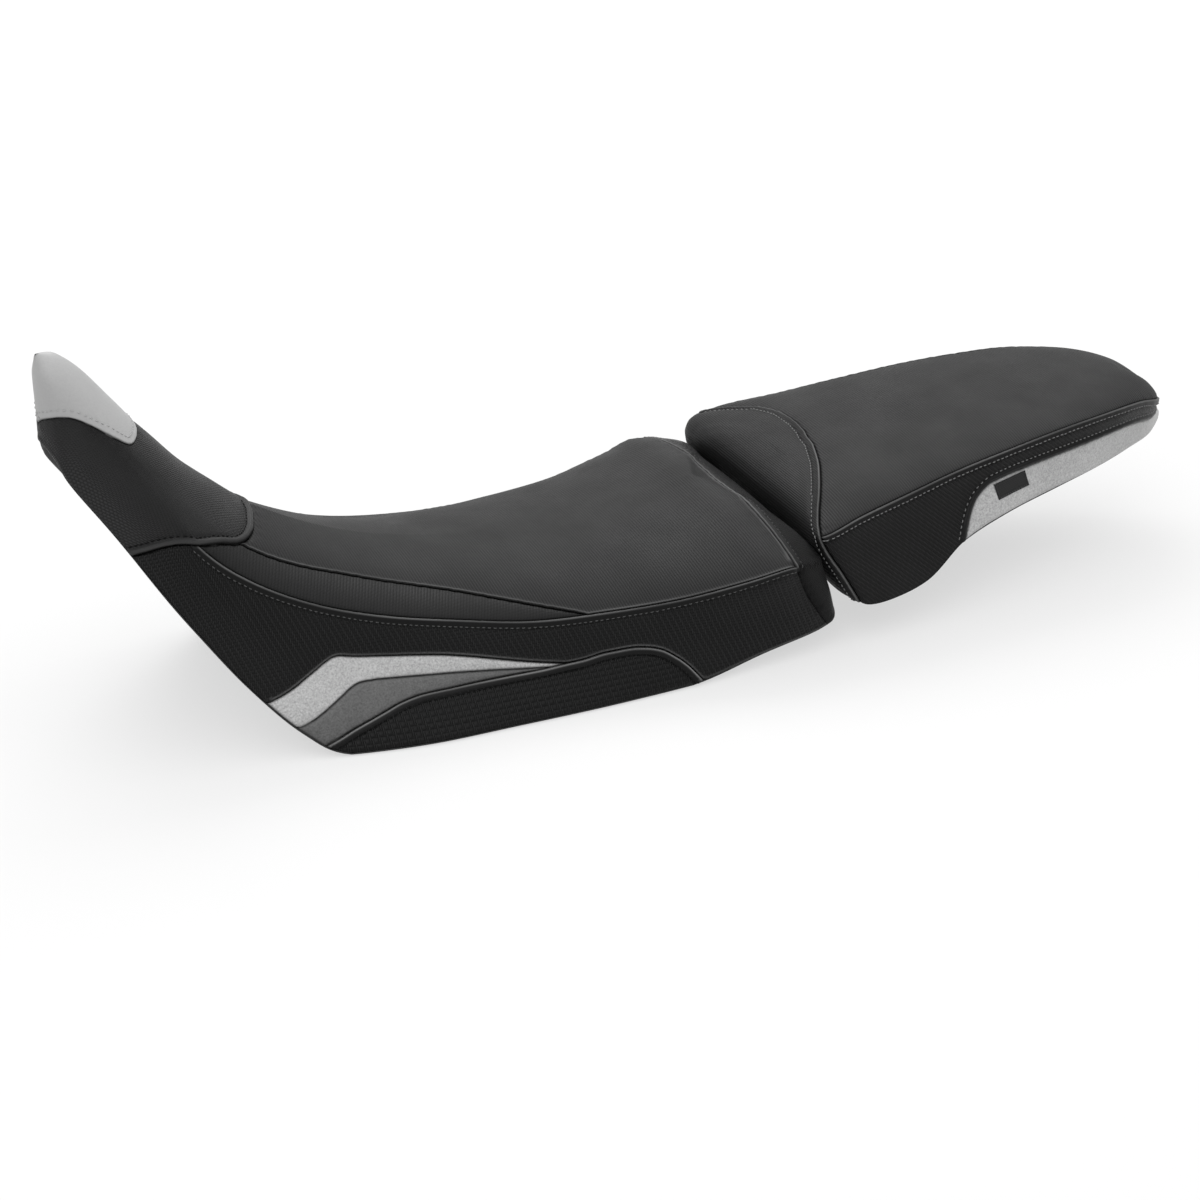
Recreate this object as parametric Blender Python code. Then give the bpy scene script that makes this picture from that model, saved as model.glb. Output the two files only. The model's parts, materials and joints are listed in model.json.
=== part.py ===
"""Two-piece touring motorcycle seat: a rider seat with a climbing nose and a passenger seat behind it.

Lengths are written in millimetres and turned into metres when a mesh is made. +X runs to the rear, +Z is up
and the bike's left side is -Y. The origin is the middle of the seat's footprint, on the surface it rests on.
"""

import math

import bmesh
import bpy
import numpy as np
from mathutils import Vector
from mathutils.bvhtree import BVHTree

MM = 0.001

# Overall sizes of the two cushions
RIDER_LENGTH = 618.0
RIDER_WIDTH = 300.0
RIDER_HEIGHT = 311.0
PASSENGER_LENGTH = 408.0
PASSENGER_WIDTH = 260.0
PASSENGER_HEIGHT = 116.0
PASSENGER_LIFT = 28.0
SEAT_GAP = 10.0

# Covers and the gaps between layers
COVER_THICK = 2.0
SEAM_GAP = 0.6
MOST_DRAWN = 0.4
COVER_FOAM_GAP = 1.8
FOAM_PAN_GAP = 0.5
SEAT_FIT = 0.3

# Base pans
PAN_WALL = 3.0
NOSE_CORE = 42.0
REAR_CORE = 90.0
PASSENGER_FRONT_CORE = 70.0
PASSENGER_TAIL_CORE = 90.0
CORE_LIFT = 5.0

# Foam depth under the crown, from the front to the rear of each cushion
RIDER_FOAM_DEPTH = (12.0, 14.0, 26.0, 40.0, 42.0, 40.0)
PASSENGER_FOAM_DEPTH = (34.0, 36.0, 32.0, 24.0)
SHOULDER_FOAM_SHARE = 0.24
HEM_FOAM_SHARE = 0.09

# Shares of the section where the layers end above the hem
FOAM_EDGE = 0.95
FOAM_INNER_EDGE = 0.915
INNER_ROWS_END = 0.9
PAN_EDGE = 0.93
FLANGE = (0.965, 0.998)
PAN_INNER_EDGE = 0.995

# Drawn-in depth of the sides
RIDER_DRAW = 3.5
PASSENGER_DRAW = 2.0

# Rubber bumpers
BUMPER_DIAMETER = 22.0
BUMPER_HEIGHT = 9.0
BUMPER_SIDES = 12

# Steel tongues, hooks and the lock striker
PLATE_THICK = 3.0
PLATE_STEPS = 6
TONGUE_WIDTH = 46.0
TONGUE_BASE = 44.0
RIVET_DIAMETER = 10.0
RIVET_HEAD = 2.5
RIVET_SIDES = 12
HOOK_WIDTH = 24.0
HOOK_BASE = 30.0
HOOK_REACH = 18.0
HOOK_DROP = 12.0
STRIKER_PLATE_LENGTH = 54.0
STRIKER_PLATE_WIDTH = 34.0
STRIKER_ROD = 8.0
STRIKER_SPAN = 26.0
STRIKER_DROP = 30.0
ROD_SIDES = 10
ROD_BEND_STEPS = 4
NUT_ACROSS = 13.0
NUT_HEIGHT = 5.0
NUT_SIDES = 6

# Places under the pans, as (x, distance from the centre plane) on the drawing below
RIDER_BUMPERS = {"front": (255.0, 44.0), "middle": (375.0, 60.0), "rear": (470.0, 66.0)}
TONGUE_PLACE = 215.0
RIDER_HOOK_PLACE = (500.0, 40.0)
PASSENGER_BUMPERS = {"front": (716.0, 62.0), "rear": (800.0, 48.0)}
PASSENGER_HOOK_PLACE = (668.0, 42.0)
STRIKER_PLACE = 868.0

# Blank side tag: its place is a station and a share of the section
TAG_LENGTH = 34.0
TAG_HEIGHT = 15.0
TAG_THICK = 0.8
TAG_STAND = 0.7
TAG_PLACE = (7.03, 0.787)

# How a section leaves and reaches its points, as parts of the span between them
TOP_LEAVE = (1.0, 1.0, 0.0)
TOP_ARRIVE = (0.8, 0.8, 2.2)
SIDE_LEAVE = (0.7, 0.7, 1.2)
SIDE_ARRIVE = (1.1, 1.1, 0.9)

# Steps for measuring the slope of a surface, and the place that stands for a centre line's end
SLOPE_STATION = 0.05
SLOPE_SHARE = 0.03
END_STATION = 0.3
END_SHARE = 0.1

# Mesh rows and columns: values with the number of steps up to each
SECTION_ROWS = ((0.0, 0), (0.5, 5), (1.0, 5))
RIDER_RINGS = ((0.0, 0), (1.0, 5), (2.0, 4), (6.0, 9), (13.0, 12), (14.0, 3), (15.0, 4), (17.0, 3))
PASSENGER_RINGS = ((0.0, 0), (2.0, 3), (4.0, 7), (10.0, 10), (12.0, 5))
NOSE_COLUMNS = ((0.0, 0), (0.3, 4), (1.0, 3))
FRONT_COLUMNS = ((0.0, 0), (0.6, 3), (1.0, 6))
CAP_COLUMNS = 9
TOP_STEPS = 6
BAND_STEPS = 2
RIDER_SIDE_STEPS = 5
PASSENGER_SIDE_STEPS = 3
REAR_TURN = 15.2
SIDE_STEP = 0.045
FLASH_TIP = 0.008
TAIL_TIP = 0.012
SHARP_ANGLE = 40.0
TINY = 1e-6

# Edges of a panel that is sewn all round
ALL_EDGES = ("first_row", "last_row", "first_column", "last_column")

# Left and right of the centre plane
SIDES = (("left", -1), ("right", 1))

# Share of a section where the shoulder lies, between the crown at 0 and the hem at 1
SHOULDER = 0.5

# Stations from the front centre line round the side to the rear centre line, as drawn:
# crown (x, z), shoulder (x, half width, z), hem (x, half width, z)
RIDER_STATIONS = (
    ((-4, 311), (-13, 0, 295), (-11, 0, 241)),
    ((7, 308), (-5, 19, 292), (-6, 17, 232)),
    ((24, 295), (13, 31, 276), (1, 32, 217)),
    ((48, 269), (36, 46, 246), (25, 55, 182)),
    ((76, 235.5), (62, 60, 205), (52, 78, 140)),
    ((110, 197.5), (90, 76, 163), (79, 93, 100)),
    ((150, 162), (124, 89, 135.5), (111, 109, 56)),
    ((196, 134.5), (172, 96, 110), (146, 126, 19)),
    ((248, 114), (226, 100, 91), (180, 139, 0)),
    ((306, 101), (284, 105.5, 78), (246, 149, 0)),
    ((364, 95.5), (344, 114.5, 68.5), (320, 150, 0)),
    ((420, 94.5), (404, 120.5, 66), (396, 150, 0)),
    ((472, 98), (466, 129.5, 68.5), (470, 147, 0)),
    ((510, 104), (520, 139, 77), (536, 140, 10)),
    ((532, 110), (555, 144, 84), (592, 134, 18)),
    ((541, 111), (567, 125, 84.5), (611, 121, 24)),
    ((544, 108), (573, 64, 84), (617, 62, 26)),
    ((546, 107), (577, 0, 82), (618, 0, 26)),
)
PASSENGER_STATIONS = (
    ((626, 120), (590, 0, 99.5), (622, 0, 40)),
    ((628, 121), (589, 62, 99), (622, 60, 39)),
    ((632, 122), (587, 108, 97.5), (618, 104, 37)),
    ((642, 124), (593, 130, 99), (626, 127, 33)),
    ((664, 127), (631, 127, 109), (648, 129.5, 28)),
    ((700, 131), (679.5, 117, 115.5), (694, 124, 36)),
    ((742, 135), (728.5, 108.5, 123), (732, 118.5, 62)),
    ((788, 138), (785, 100.5, 129.5), (782, 107.5, 75)),
    ((834, 140.5), (838.5, 92, 134), (838, 92, 80.5)),
    ((879, 143), (888.5, 82, 135.5), (888, 74, 82)),
    ((916, 144), (933, 65, 131.5), (934, 51, 81.5)),
    ((942, 139), (967.5, 40.5, 119), (971, 29, 82)),
    ((954, 131), (986, 0, 106), (995, 0, 88)),
)

# Seams, as (station, share of the section) points
NOSE_CAP_SEAM = ((3.69, 0.0), (3.67, 0.12), (3.58, 0.245), (3.41, 0.345), (3.15, 0.402), (2.74, 0.468),
                 (2.35, 0.524), (1.93, 0.577), (1.26, 0.664), (0.59, 0.755), (0.0, 0.843))
NOSE_SEAM = ((6.05, 0.0), (6.12, 0.083), (6.1, 0.186), (6.01, 0.263), (5.81, 0.335), (5.36, 0.411),
             (4.71, 0.542), (4.09, 0.745), (3.67, 0.9), (3.42, 1.0))
INSET_SEAM = ((5.81, 0.335), (6.28, 0.33), (6.8, 0.32), (7.48, 0.306), (8.17, 0.316), (8.79, 0.339),
              (9.64, 0.396), (10.4, 0.462), (10.7, 0.492))
SILVER_SEAM = ((6.3, 1.0), (6.43, 0.956), (6.75, 0.854), (7.03, 0.763), (7.3, 0.684), (7.42, 0.666),
               (7.64, 0.658), (8.07, 0.644), (8.52, 0.641), (8.77, 0.642), (9.22, 0.654), (9.67, 0.678),
               (10.12, 0.71), (10.5, 0.7397))
GREY_SEAM = ((6.88, 1.0), (7.04, 0.963), (7.41, 0.867), (7.66, 0.795), (7.76, 0.765), (7.88, 0.744),
             (8.1, 0.731), (8.59, 0.724), (9.12, 0.721), (9.55, 0.724), (9.98, 0.735), (10.3, 0.7465))
KICK_SEAM = ((7.5, 1.0), (7.76, 0.95), (7.97, 0.908), (8.17, 0.878), (8.34, 0.85), (8.47, 0.827),
             (8.73, 0.8), (9.08, 0.785), (9.42, 0.771), (9.84, 0.758), (10.2, 0.75), (10.46, 0.741),
             (10.69, 0.736), (10.99, 0.719), (11.28, 0.717), (11.5, 0.731), (11.68, 0.76), (11.83, 0.811),
             (11.98, 0.883), (12.13, 1.0))
REAR_CORNER = 14.5
FRONT_PANEL_SEAM = ((3.43, 0.0), (3.42, 0.08), (3.38, 0.16), (3.28, 0.245), (3.14, 0.32), (2.98, 0.395),
                    (2.9, 0.46), (2.91, 0.52), (3.0, 0.63), (3.14, 0.76), (3.25, 1.0))
PASSENGER_SILVER_SEAM = ((6.05, 1.0), (6.2, 0.87), (6.35, 0.771), (6.51, 0.721), (6.68, 0.697), (7.0, 0.697),
                         (7.31, 0.704), (8.33, 0.711), (9.63, 0.717), (11.19, 0.778), (12.0, 0.83))

# Colours as linear RGB with roughness and metallic
FINISHES = {
    "black_vinyl": ((0.022, 0.022, 0.023), 0.55, 0.0),
    "ribbed_vinyl": ((0.045, 0.045, 0.046), 0.6, 0.0),
    "light_grey_vinyl": ((0.42, 0.42, 0.43), 0.5, 0.0),
    "silver_vinyl": ((0.58, 0.58, 0.59), 0.45, 0.0),
    "grey_vinyl": ((0.15, 0.15, 0.155), 0.5, 0.0),
    "foam": ((0.10, 0.10, 0.105), 0.95, 0.0),
    "pan_plastic": ((0.018, 0.018, 0.019), 0.5, 0.0),
    "rubber": ((0.012, 0.012, 0.012), 0.8, 0.0),
    "zinc_steel": ((0.55, 0.56, 0.57), 0.35, 1.0),
    "tag_fabric": ((0.01, 0.01, 0.01), 0.9, 0.0),
}


def finish(name):
    """A Principled material of one of the named finishes, made once."""
    material = bpy.data.materials.get(name)
    if material is None:
        colour, roughness, metallic = FINISHES[name]
        material = bpy.data.materials.new(name)
        material.use_nodes = True
        shader = material.node_tree.nodes["Principled BSDF"]
        shader.inputs["Base Color"].default_value = (*colour, 1.0)
        shader.inputs["Roughness"].default_value = roughness
        shader.inputs["Metallic"].default_value = metallic
    return material


def monotone(points, at):
    """Smooth curve through rising points that never swings past them."""
    xs = np.array([p[0] for p in points], float)
    ys = np.array([p[1] for p in points], float)
    slope = np.diff(ys) / np.diff(xs)
    tangent = np.zeros(len(xs))
    tangent[0], tangent[-1] = slope[0], slope[-1]
    inner = slope[:-1] * slope[1:] > 0
    tangent[1:-1][inner] = 2.0 / (1.0 / slope[:-1][inner] + 1.0 / slope[1:][inner])
    at = np.clip(np.asarray(at, float), xs[0], xs[-1])
    k = np.clip(np.searchsorted(xs, at, side="right") - 1, 0, len(xs) - 2)
    width = xs[k + 1] - xs[k]
    u = (at - xs[k]) / width
    value = ys[k] * (1 + 2 * u) * (1 - u) ** 2 + ys[k + 1] * u * u * (3 - 2 * u)
    return value + width * (tangent[k] * u * (1 - u) ** 2 - tangent[k + 1] * u * u * (1 - u))


def seam_station(seam, share):
    """Station of a seam that crosses the section, at a share of the section."""
    return monotone([(r, s) for s, r in seam], share)


class Cushion:
    """Half of a cushion's outer surface, from the crown line to the hem; the other half is its mirror image.

    A point is named by its station round the side and its share of the section from crown to hem.
    """

    def __init__(self, stations, stretch, core_span, foam_depth, draw):
        self.crown = np.array([stretch(x, 0.0, z) for (x, z), _, _ in stations])
        self.shoulder = np.array([stretch(*point) for _, point, _ in stations])
        self.hem = np.array([stretch(*point) for _, _, point in stations])
        self.last = len(stations) - 1
        self.core_span = core_span
        self.foam_depth = foam_depth
        self.draw = draw

    def rail(self, points, station):
        """Catmull-Rom curve through points, mirrored past both centre lines and never under the lowest."""
        station = np.asarray(station, float)
        flip = (station < 0) | (station > self.last)
        station = np.abs(station)
        station = np.where(station > self.last, 2 * self.last - station, station)
        before = points[1] * (1, -1, 1)
        after = points[-2] * (1, -1, 1)
        row = np.vstack([before, points, after])
        k = np.clip(np.floor(station).astype(int), 0, self.last - 1)
        u = (station - k)[..., None]
        p0, p1, p2, p3 = row[k], row[k + 1], row[k + 2], row[k + 3]
        curve = 0.5 * (2 * p1 + (p2 - p0) * u + (2 * p0 - 5 * p1 + 4 * p2 - p3) * u ** 2
                       + (3 * p1 - p0 - 3 * p2 + p3) * u ** 3)
        curve[..., 1] = np.where(flip, -curve[..., 1], curve[..., 1])
        curve[..., 2] = np.maximum(curve[..., 2], points[:, 2].min())
        return curve

    def core(self, station):
        """Point on the centre plane that the section is drawn towards."""
        crown = self.rail(self.crown, station)
        hem = self.rail(self.hem, station)
        core = np.zeros_like(crown)
        core[..., 0] = np.clip((crown[..., 0] + hem[..., 0]) / 2, *self.core_span)
        core[..., 2] = hem[..., 2] + CORE_LIFT
        return core

    def surface(self, station, share):
        """Outer surface at stations and shares of the section."""
        station, share = np.broadcast_arrays(np.asarray(station, float), np.asarray(share, float))
        flip = share < 0
        share = np.minimum(np.abs(share), 1.0)
        crown = self.rail(self.crown, station)
        shoulder = self.rail(self.shoulder, station)
        hem = self.rail(self.hem, station)
        on_top = (share <= SHOULDER)[..., None]
        q = np.where(share <= SHOULDER, share / SHOULDER, (share - SHOULDER) / (1 - SHOULDER))[..., None]
        start = np.where(on_top, crown, shoulder)
        end = np.where(on_top, shoulder, hem)
        span = end - start
        leave = np.where(on_top, span * TOP_LEAVE, span * SIDE_LEAVE)
        arrive = np.where(on_top, span * TOP_ARRIVE, span * SIDE_ARRIVE)
        point = (start * (1 + 2 * q) * (1 - q) ** 2 + end * q ** 2 * (3 - 2 * q)
                 + leave * q * (1 - q) ** 2 - arrive * q ** 2 * (1 - q))
        outward = (shoulder - self.core(station)) * (1, 1, 0)
        outward /= np.maximum(np.linalg.norm(outward, axis=-1, keepdims=True), TINY)
        point = point - np.where(on_top, 0.0, self.draw * np.sin(math.pi * q) ** 2) * outward
        point[..., 1] = np.where(flip, -point[..., 1], point[..., 1])
        return point

    def normal(self, station, share):
        """Outward direction of the surface, even across the shoulder seam."""
        station, share = np.broadcast_arrays(np.asarray(station, float), np.asarray(share, float))
        middle = (station > 0) & (station < self.last) | (share > 0)
        station = np.where(middle, station, np.where(station > 0, self.last - END_STATION, END_STATION))
        share = np.where(middle, share, END_SHARE)
        along = self.surface(station + SLOPE_STATION, share) - self.surface(station - SLOPE_STATION, share)
        lower = np.minimum(share + SLOPE_SHARE, 1.0)
        down = self.surface(station, lower) - self.surface(station, share - SLOPE_SHARE)
        normal = np.cross(along, down)
        length = np.linalg.norm(normal, axis=-1, keepdims=True)
        normal /= np.maximum(length, TINY)
        away = np.sum(normal * (self.surface(station, share) - self.core(station)), axis=-1, keepdims=True)
        normal *= np.where(away < 0, -1.0, 1.0)
        normal[..., 1] = np.where(middle, normal[..., 1], 0.0)
        return normal / np.linalg.norm(normal, axis=-1, keepdims=True)

    def below(self, station, share, depth):
        """Surface set inward by a depth along its normal."""
        return self.surface(station, share) - depth * self.normal(station, share)

    def pan(self, station, share, inset):
        """Upper face of the base pan, set inward by a further inset."""
        point = self.surface(station, share)
        to_core = self.core(station) - point
        reach = np.linalg.norm(to_core, axis=-1)
        spread = np.linspace(0, self.last, len(self.foam_depth))
        depth = monotone(list(zip(spread, self.foam_depth)), station)
        crown_reach = np.linalg.norm(self.core(station) - self.surface(station, 0.0), axis=-1)
        deep = depth / crown_reach
        top = deep + (SHOULDER_FOAM_SHARE - deep) * np.clip(share / SHOULDER, 0, 1) ** 2
        side = SHOULDER_FOAM_SHARE + (HEM_FOAM_SHARE - SHOULDER_FOAM_SHARE) * np.clip(
            (share - SHOULDER) / (1 - SHOULDER), 0, 1)
        part = np.where(share <= SHOULDER, top, side) + inset / reach
        return point + part[..., None] * to_core


def clear_scene():
    for thing in list(bpy.data.objects):
        bpy.data.objects.remove(thing, do_unlink=True)


def make_object(name, points, faces, material, parent):
    """Closed mesh object from points in millimetres, with its faces turned outward."""
    mesh = bpy.data.meshes.new(name)
    shape = bmesh.new()
    corners = [shape.verts.new(Vector(point) * MM) for point in points]
    for face in faces:
        shape.faces.new([corners[i] for i in face])
    bmesh.ops.triangulate(shape, faces=[f for f in shape.faces if len(f.verts) == 4])
    bmesh.ops.recalc_face_normals(shape, faces=shape.faces)
    shape.to_mesh(mesh)
    shape.free()
    mesh.shade_smooth()
    mesh.set_sharp_from_angle(angle=math.radians(SHARP_ANGLE))
    mesh.materials.append(finish(material))
    thing = bpy.data.objects.new(name, mesh)
    bpy.context.collection.objects.link(thing)
    thing.parent = parent
    return thing


def weld(points, faces):
    """Points at the same place made one, and faces that collapse dropped."""
    keys = {}
    index = []
    kept = []
    for point in points:
        key = tuple(np.round(point, 4) + 0.0)
        if key not in keys:
            keys[key] = len(kept)
            kept.append(point)
        index.append(keys[key])
    welded = []
    for face in faces:
        ring = []
        for corner in (index[i] for i in face):
            if corner not in ring:
                ring.append(corner)
        if len(ring) > 2:
            welded.append(ring)
    return np.array(kept), welded, index


def grid_faces(rows, columns, start=0):
    faces = []
    for i in range(rows - 1):
        for j in range(columns - 1):
            a = start + i * columns + j
            faces.append([a, a + 1, a + columns + 1, a + columns])
    return faces


def with_seam_gap(cushion, station, share, edges):
    """Grid of a panel with its sewn edges drawn back by half the seam gap."""
    station, share = np.array(station, float), np.array(share, float)
    whole = slice(None)
    lines = {
        "first_row": (0, 1),
        "last_row": (-1, -2),
        "first_column": ((whole, 0), (whole, 1)),
        "last_column": ((whole, -1), (whole, -2)),
    }
    for edge in edges:
        outer, inner = lines[edge]
        span = cushion.surface(station[inner], share[inner]) - cushion.surface(station[outer], share[outer])
        move = np.minimum(MOST_DRAWN, SEAM_GAP / 2 / np.maximum(np.linalg.norm(span, axis=-1), TINY))
        station[outer] = station[outer] + move * (station[inner] - station[outer])
        share[outer] = share[outer] + move * (share[inner] - share[outer])
    return station, share


def cover_panel(name, cushion, station, share, edges, side, material, parent):
    """Sewn cover panel with its edges drawn back for the seams."""
    station, share = with_seam_gap(cushion, station, share, edges)
    return patch_solid(name, cushion, station, share, (0.0, COVER_THICK), side, material, parent)


def patch_solid(name, cushion, station, share, depths, side, material, parent):
    """Patch of the outer surface made solid between two depths.

    side is left, right or both, and both joins the patch to its mirror image on the centre plane.
    """
    rows, columns = station.shape
    outer = cushion.below(station, share, depths[0]).reshape(-1, 3)
    inner = cushion.below(station, share, depths[1]).reshape(-1, 3)
    to_left = np.array((1.0, -1.0, 1.0))
    faces = grid_faces(rows, columns)
    if side == "both":
        outer = np.vstack([outer * to_left, outer])
        inner = np.vstack([inner * to_left, inner])
        faces = faces + [list(reversed(f)) for f in grid_faces(rows, columns, rows * columns)]
    elif side == "left":
        outer, inner = outer * to_left, inner * to_left
    outer, faces, index = weld(outer, faces)
    first = {}
    for place, kept in enumerate(index):
        first.setdefault(kept, place)
    inner = np.array([inner[first[k]] for k in range(len(outer))])
    count = len(outer)
    used = {}
    for face in faces:
        for a, b in zip(face, face[1:] + face[:1]):
            used.setdefault((min(a, b), max(a, b)), []).append((a, b))
    walls = []
    for pairs in used.values():
        if len(pairs) == 1:
            a, b = pairs[0]
            walls.append([b, a, a + count, b + count])
    back = [[i + count for i in reversed(face)] for face in faces]
    return make_object(name, np.vstack([outer, inner]), faces + back + walls, material, parent)


def layer(name, stations, outer_rows, inner_rows, material, parent):
    """Closed moulding between an outer and an inner row of section points, with its mirror image."""
    ring = np.concatenate([np.stack([row(stations) for row in outer_rows], axis=1),
                           np.stack([row(stations) for row in reversed(inner_rows)], axis=1)], axis=1)
    rows, columns, _ = ring.shape
    right = ring.reshape(-1, 3)
    left = right * (1.0, -1.0, 1.0)
    faces = grid_faces(rows, columns)
    faces = faces + [list(reversed(f)) for f in grid_faces(rows, columns, rows * columns)]
    points, faces, _ = weld(np.vstack([right, left]), faces)
    return make_object(name, points, faces, material, parent)


def foam_and_pan(prefix, cushion, stations, shares, parent):
    """Foam cushion under the cover and the base pan that carries it, with a flange along the hem.

    Returns the pan.
    """
    lining = COVER_THICK + COVER_FOAM_GAP

    def under_cover(share):
        return lambda s: cushion.below(s, np.full_like(s, share), lining)

    def on_pan(share, inset):
        return lambda s: cushion.pan(s, np.full_like(s, share), inset)

    inner = [share for share in shares[::2] if share < INNER_ROWS_END]
    foam_top = [under_cover(r) for r in shares if r < FOAM_EDGE] + [under_cover(FOAM_EDGE)]
    foam_back = [on_pan(r, -FOAM_PAN_GAP) for r in inner + [FOAM_INNER_EDGE]]
    layer(prefix + "_foam", stations, foam_top, foam_back, "foam", parent)
    pan_top = [on_pan(r, 0.0) for r in inner + [PAN_EDGE]] + [under_cover(r) for r in FLANGE]
    pan_back = [on_pan(r, PAN_WALL) for r in inner + [PAN_INNER_EDGE]]
    return layer(prefix + "_base_pan", stations, pan_top, pan_back, "pan_plastic", parent)


def steps(*marks):
    """Row of values running through marks given as (value, number of steps up to it)."""
    row = [marks[0][0]]
    for value, count in marks[1:]:
        row += list(np.linspace(row[-1], value, count + 1)[1:])
    return np.array(row)


def stretched(stations, size, front, place, lift):
    """Function that fits drawn stations to a cushion's own length, width and height, and puts it in place."""
    xs = [p[0] for row in stations for p in row]
    ws = [p[1] for row in stations for p in row[1:]]
    zs = [p[-1] for row in stations for p in row]
    length, width, height = size
    along = length / (max(xs) - front)
    across = width / 2 / max(ws)
    up = height / (max(zs) - min(zs))

    def fit(x, w, z):
        return (x - front) * along + place, w * across, (z - min(zs)) * up + lift

    return fit


def rider_covers(cushion, parent):
    """Sewn cover of the rider seat, panel by panel."""
    zone_end = REAR_CORNER

    def station_of(f, share):
        front = seam_station(NOSE_SEAM, share)
        return front + f * (zone_end - front)

    def along_side(seam):
        fronts = [float(seam_station(NOSE_SEAM, r)) for _, r in seam]
        return [((s - front) / (zone_end - front), r) for (s, r), front in zip(seam, fronts)]

    inset, silver, grey, kick = (along_side(s) for s in (INSET_SEAM, SILVER_SEAM, GREY_SEAM, KICK_SEAM))
    inset_start = inset[0][1]
    top_rows = steps((0.0, 0), (inset_start, TOP_STEPS))
    band_rows = steps((inset_start, 0), (SHOULDER, BAND_STEPS))
    side_rows = steps((SHOULDER, 0), (1.0, RIDER_SIDE_STEPS))
    nose_rows = np.concatenate([top_rows, band_rows[1:], side_rows[1:]])

    cap_end = NOSE_CAP_SEAM[-1][1]
    cap_rows = np.append(nose_rows[nose_rows < cap_end], cap_end)
    share = np.repeat(cap_rows[:, None], CAP_COLUMNS, axis=1)
    station = seam_station(NOSE_CAP_SEAM, share) * np.linspace(0, 1, CAP_COLUMNS)[None, :]
    edges = ["last_column"]
    cover_panel("rider_nose_cap", cushion, station, share, edges, "both", "light_grey_vinyl", parent)

    rows = np.unique(np.append(nose_rows, cap_end).round(4))
    columns = steps(*NOSE_COLUMNS)
    share = np.repeat(rows[:, None], len(columns), axis=1)
    front = np.where(share < cap_end, seam_station(NOSE_CAP_SEAM, share), 0.0)
    station = front + (seam_station(NOSE_SEAM, share) - front) * columns[None, :]
    station, share = with_seam_gap(cushion, station, share, ["last_column"])
    inside = with_seam_gap(cushion, station, share, ["first_column"])
    cut = (share[:, 0] < cap_end)[:, None] & (columns == 0)[None, :]
    station, share = np.where(cut, inside[0], station), np.where(cut, inside[1], share)
    cover_panel("rider_nose_panel", cushion, station, share, [], "both", "black_vinyl", parent)

    marks = {0.0, 1.0, inset[-1][0], kick[-1][0] - FLASH_TIP / 2}
    marks |= {f for seam in (silver, grey, kick) for f in (seam[0][0], seam[0][0] + FLASH_TIP, seam[-1][0])}
    marks = sorted(marks)
    runs = [np.linspace(a, b, max(2, round((b - a) / SIDE_STEP) + 1)) for a, b in zip(marks, marks[1:])]
    fs = np.unique(np.concatenate(runs).round(6))
    rear = steps((zone_end, 0), (REAR_TURN, 4), (cushion.last, 3))[1:]

    def panel(name, low, high, rows, columns, side, material):
        """Panel between two curves of share, both functions of the place along the side."""
        down = np.linspace(0, 1, rows)[:, None]
        share = low(columns)[None, :] + (high(columns) - low(columns))[None, :] * down
        station = station_of(columns[None, :], share)
        cover_panel(name, cushion, station, share, ALL_EDGES, side, material, parent)

    def inset_edge(f):
        return np.where(f <= inset[-1][0] + TINY, monotone(inset, f), SHOULDER)

    def silver_edge(f):
        edge = np.where(f < silver[0][0], 1.0, monotone(silver, f))
        return np.where(f > silver[-1][0] + TINY, kick_edge(f), edge)

    def grey_edge(f):
        edge = np.where(f < grey[0][0], 1.0, monotone(grey, f))
        return np.where(f > grey[-1][0] + TINY, kick_edge(f), edge)

    def kick_edge(f):
        return np.where((f < kick[0][0]) | (f > kick[-1][0]), 1.0, monotone(kick, f))

    def at(value):
        return lambda f: np.full_like(f, value)

    share = inset_edge(fs)[None, :] * (top_rows / inset_start)[:, None]
    station = station_of(fs[None, :], share)
    tail = np.repeat(rear[None, :], len(top_rows), axis=0)
    tail_share = np.repeat(SHOULDER * (top_rows / inset_start)[:, None], len(rear), axis=1)
    cover_panel("rider_seat_panel", cushion, np.hstack([station, tail]), np.hstack([share, tail_share]),
                ["first_column", "last_row"], "both", "ribbed_vinyl", parent)

    def between(start, end, trim_start=0.0, trim_end=0.0):
        inside = fs[(fs > start + trim_start + TINY) & (fs < end - trim_end - TINY)]
        return np.concatenate([[start + trim_start], inside, [end - trim_end]])

    for side, _ in SIDES:
        columns = between(0.0, inset[-1][0])
        panel("rider_inset_" + side, inset_edge, at(SHOULDER), BAND_STEPS + 1, columns, side, "ribbed_vinyl")
        panel("rider_flank_" + side, at(SHOULDER), silver_edge, RIDER_SIDE_STEPS + 1, fs, side, "black_vinyl")
        columns = between(silver[0][0], silver[-1][0], FLASH_TIP)
        panel("rider_silver_flash_" + side, silver_edge, grey_edge, 3, columns, side, "silver_vinyl")
        columns = between(grey[0][0], grey[-1][0], FLASH_TIP)
        panel("rider_grey_flash_" + side, grey_edge, kick_edge, 2, columns, side, "grey_vinyl")
        columns = between(kick[0][0], kick[-1][0], FLASH_TIP, FLASH_TIP / 2)
        panel("rider_kick_panel_" + side, kick_edge, at(1.0), 3, columns, side, "black_vinyl")

    share = np.repeat(side_rows[:, None], len(rear) + 1, axis=1)
    station = np.repeat(np.concatenate([[zone_end], rear])[None, :], len(side_rows), axis=0)
    edges = ["first_row", "first_column"]
    cover_panel("rider_rear_panel", cushion, station, share, edges, "both", "black_vinyl", parent)


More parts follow.
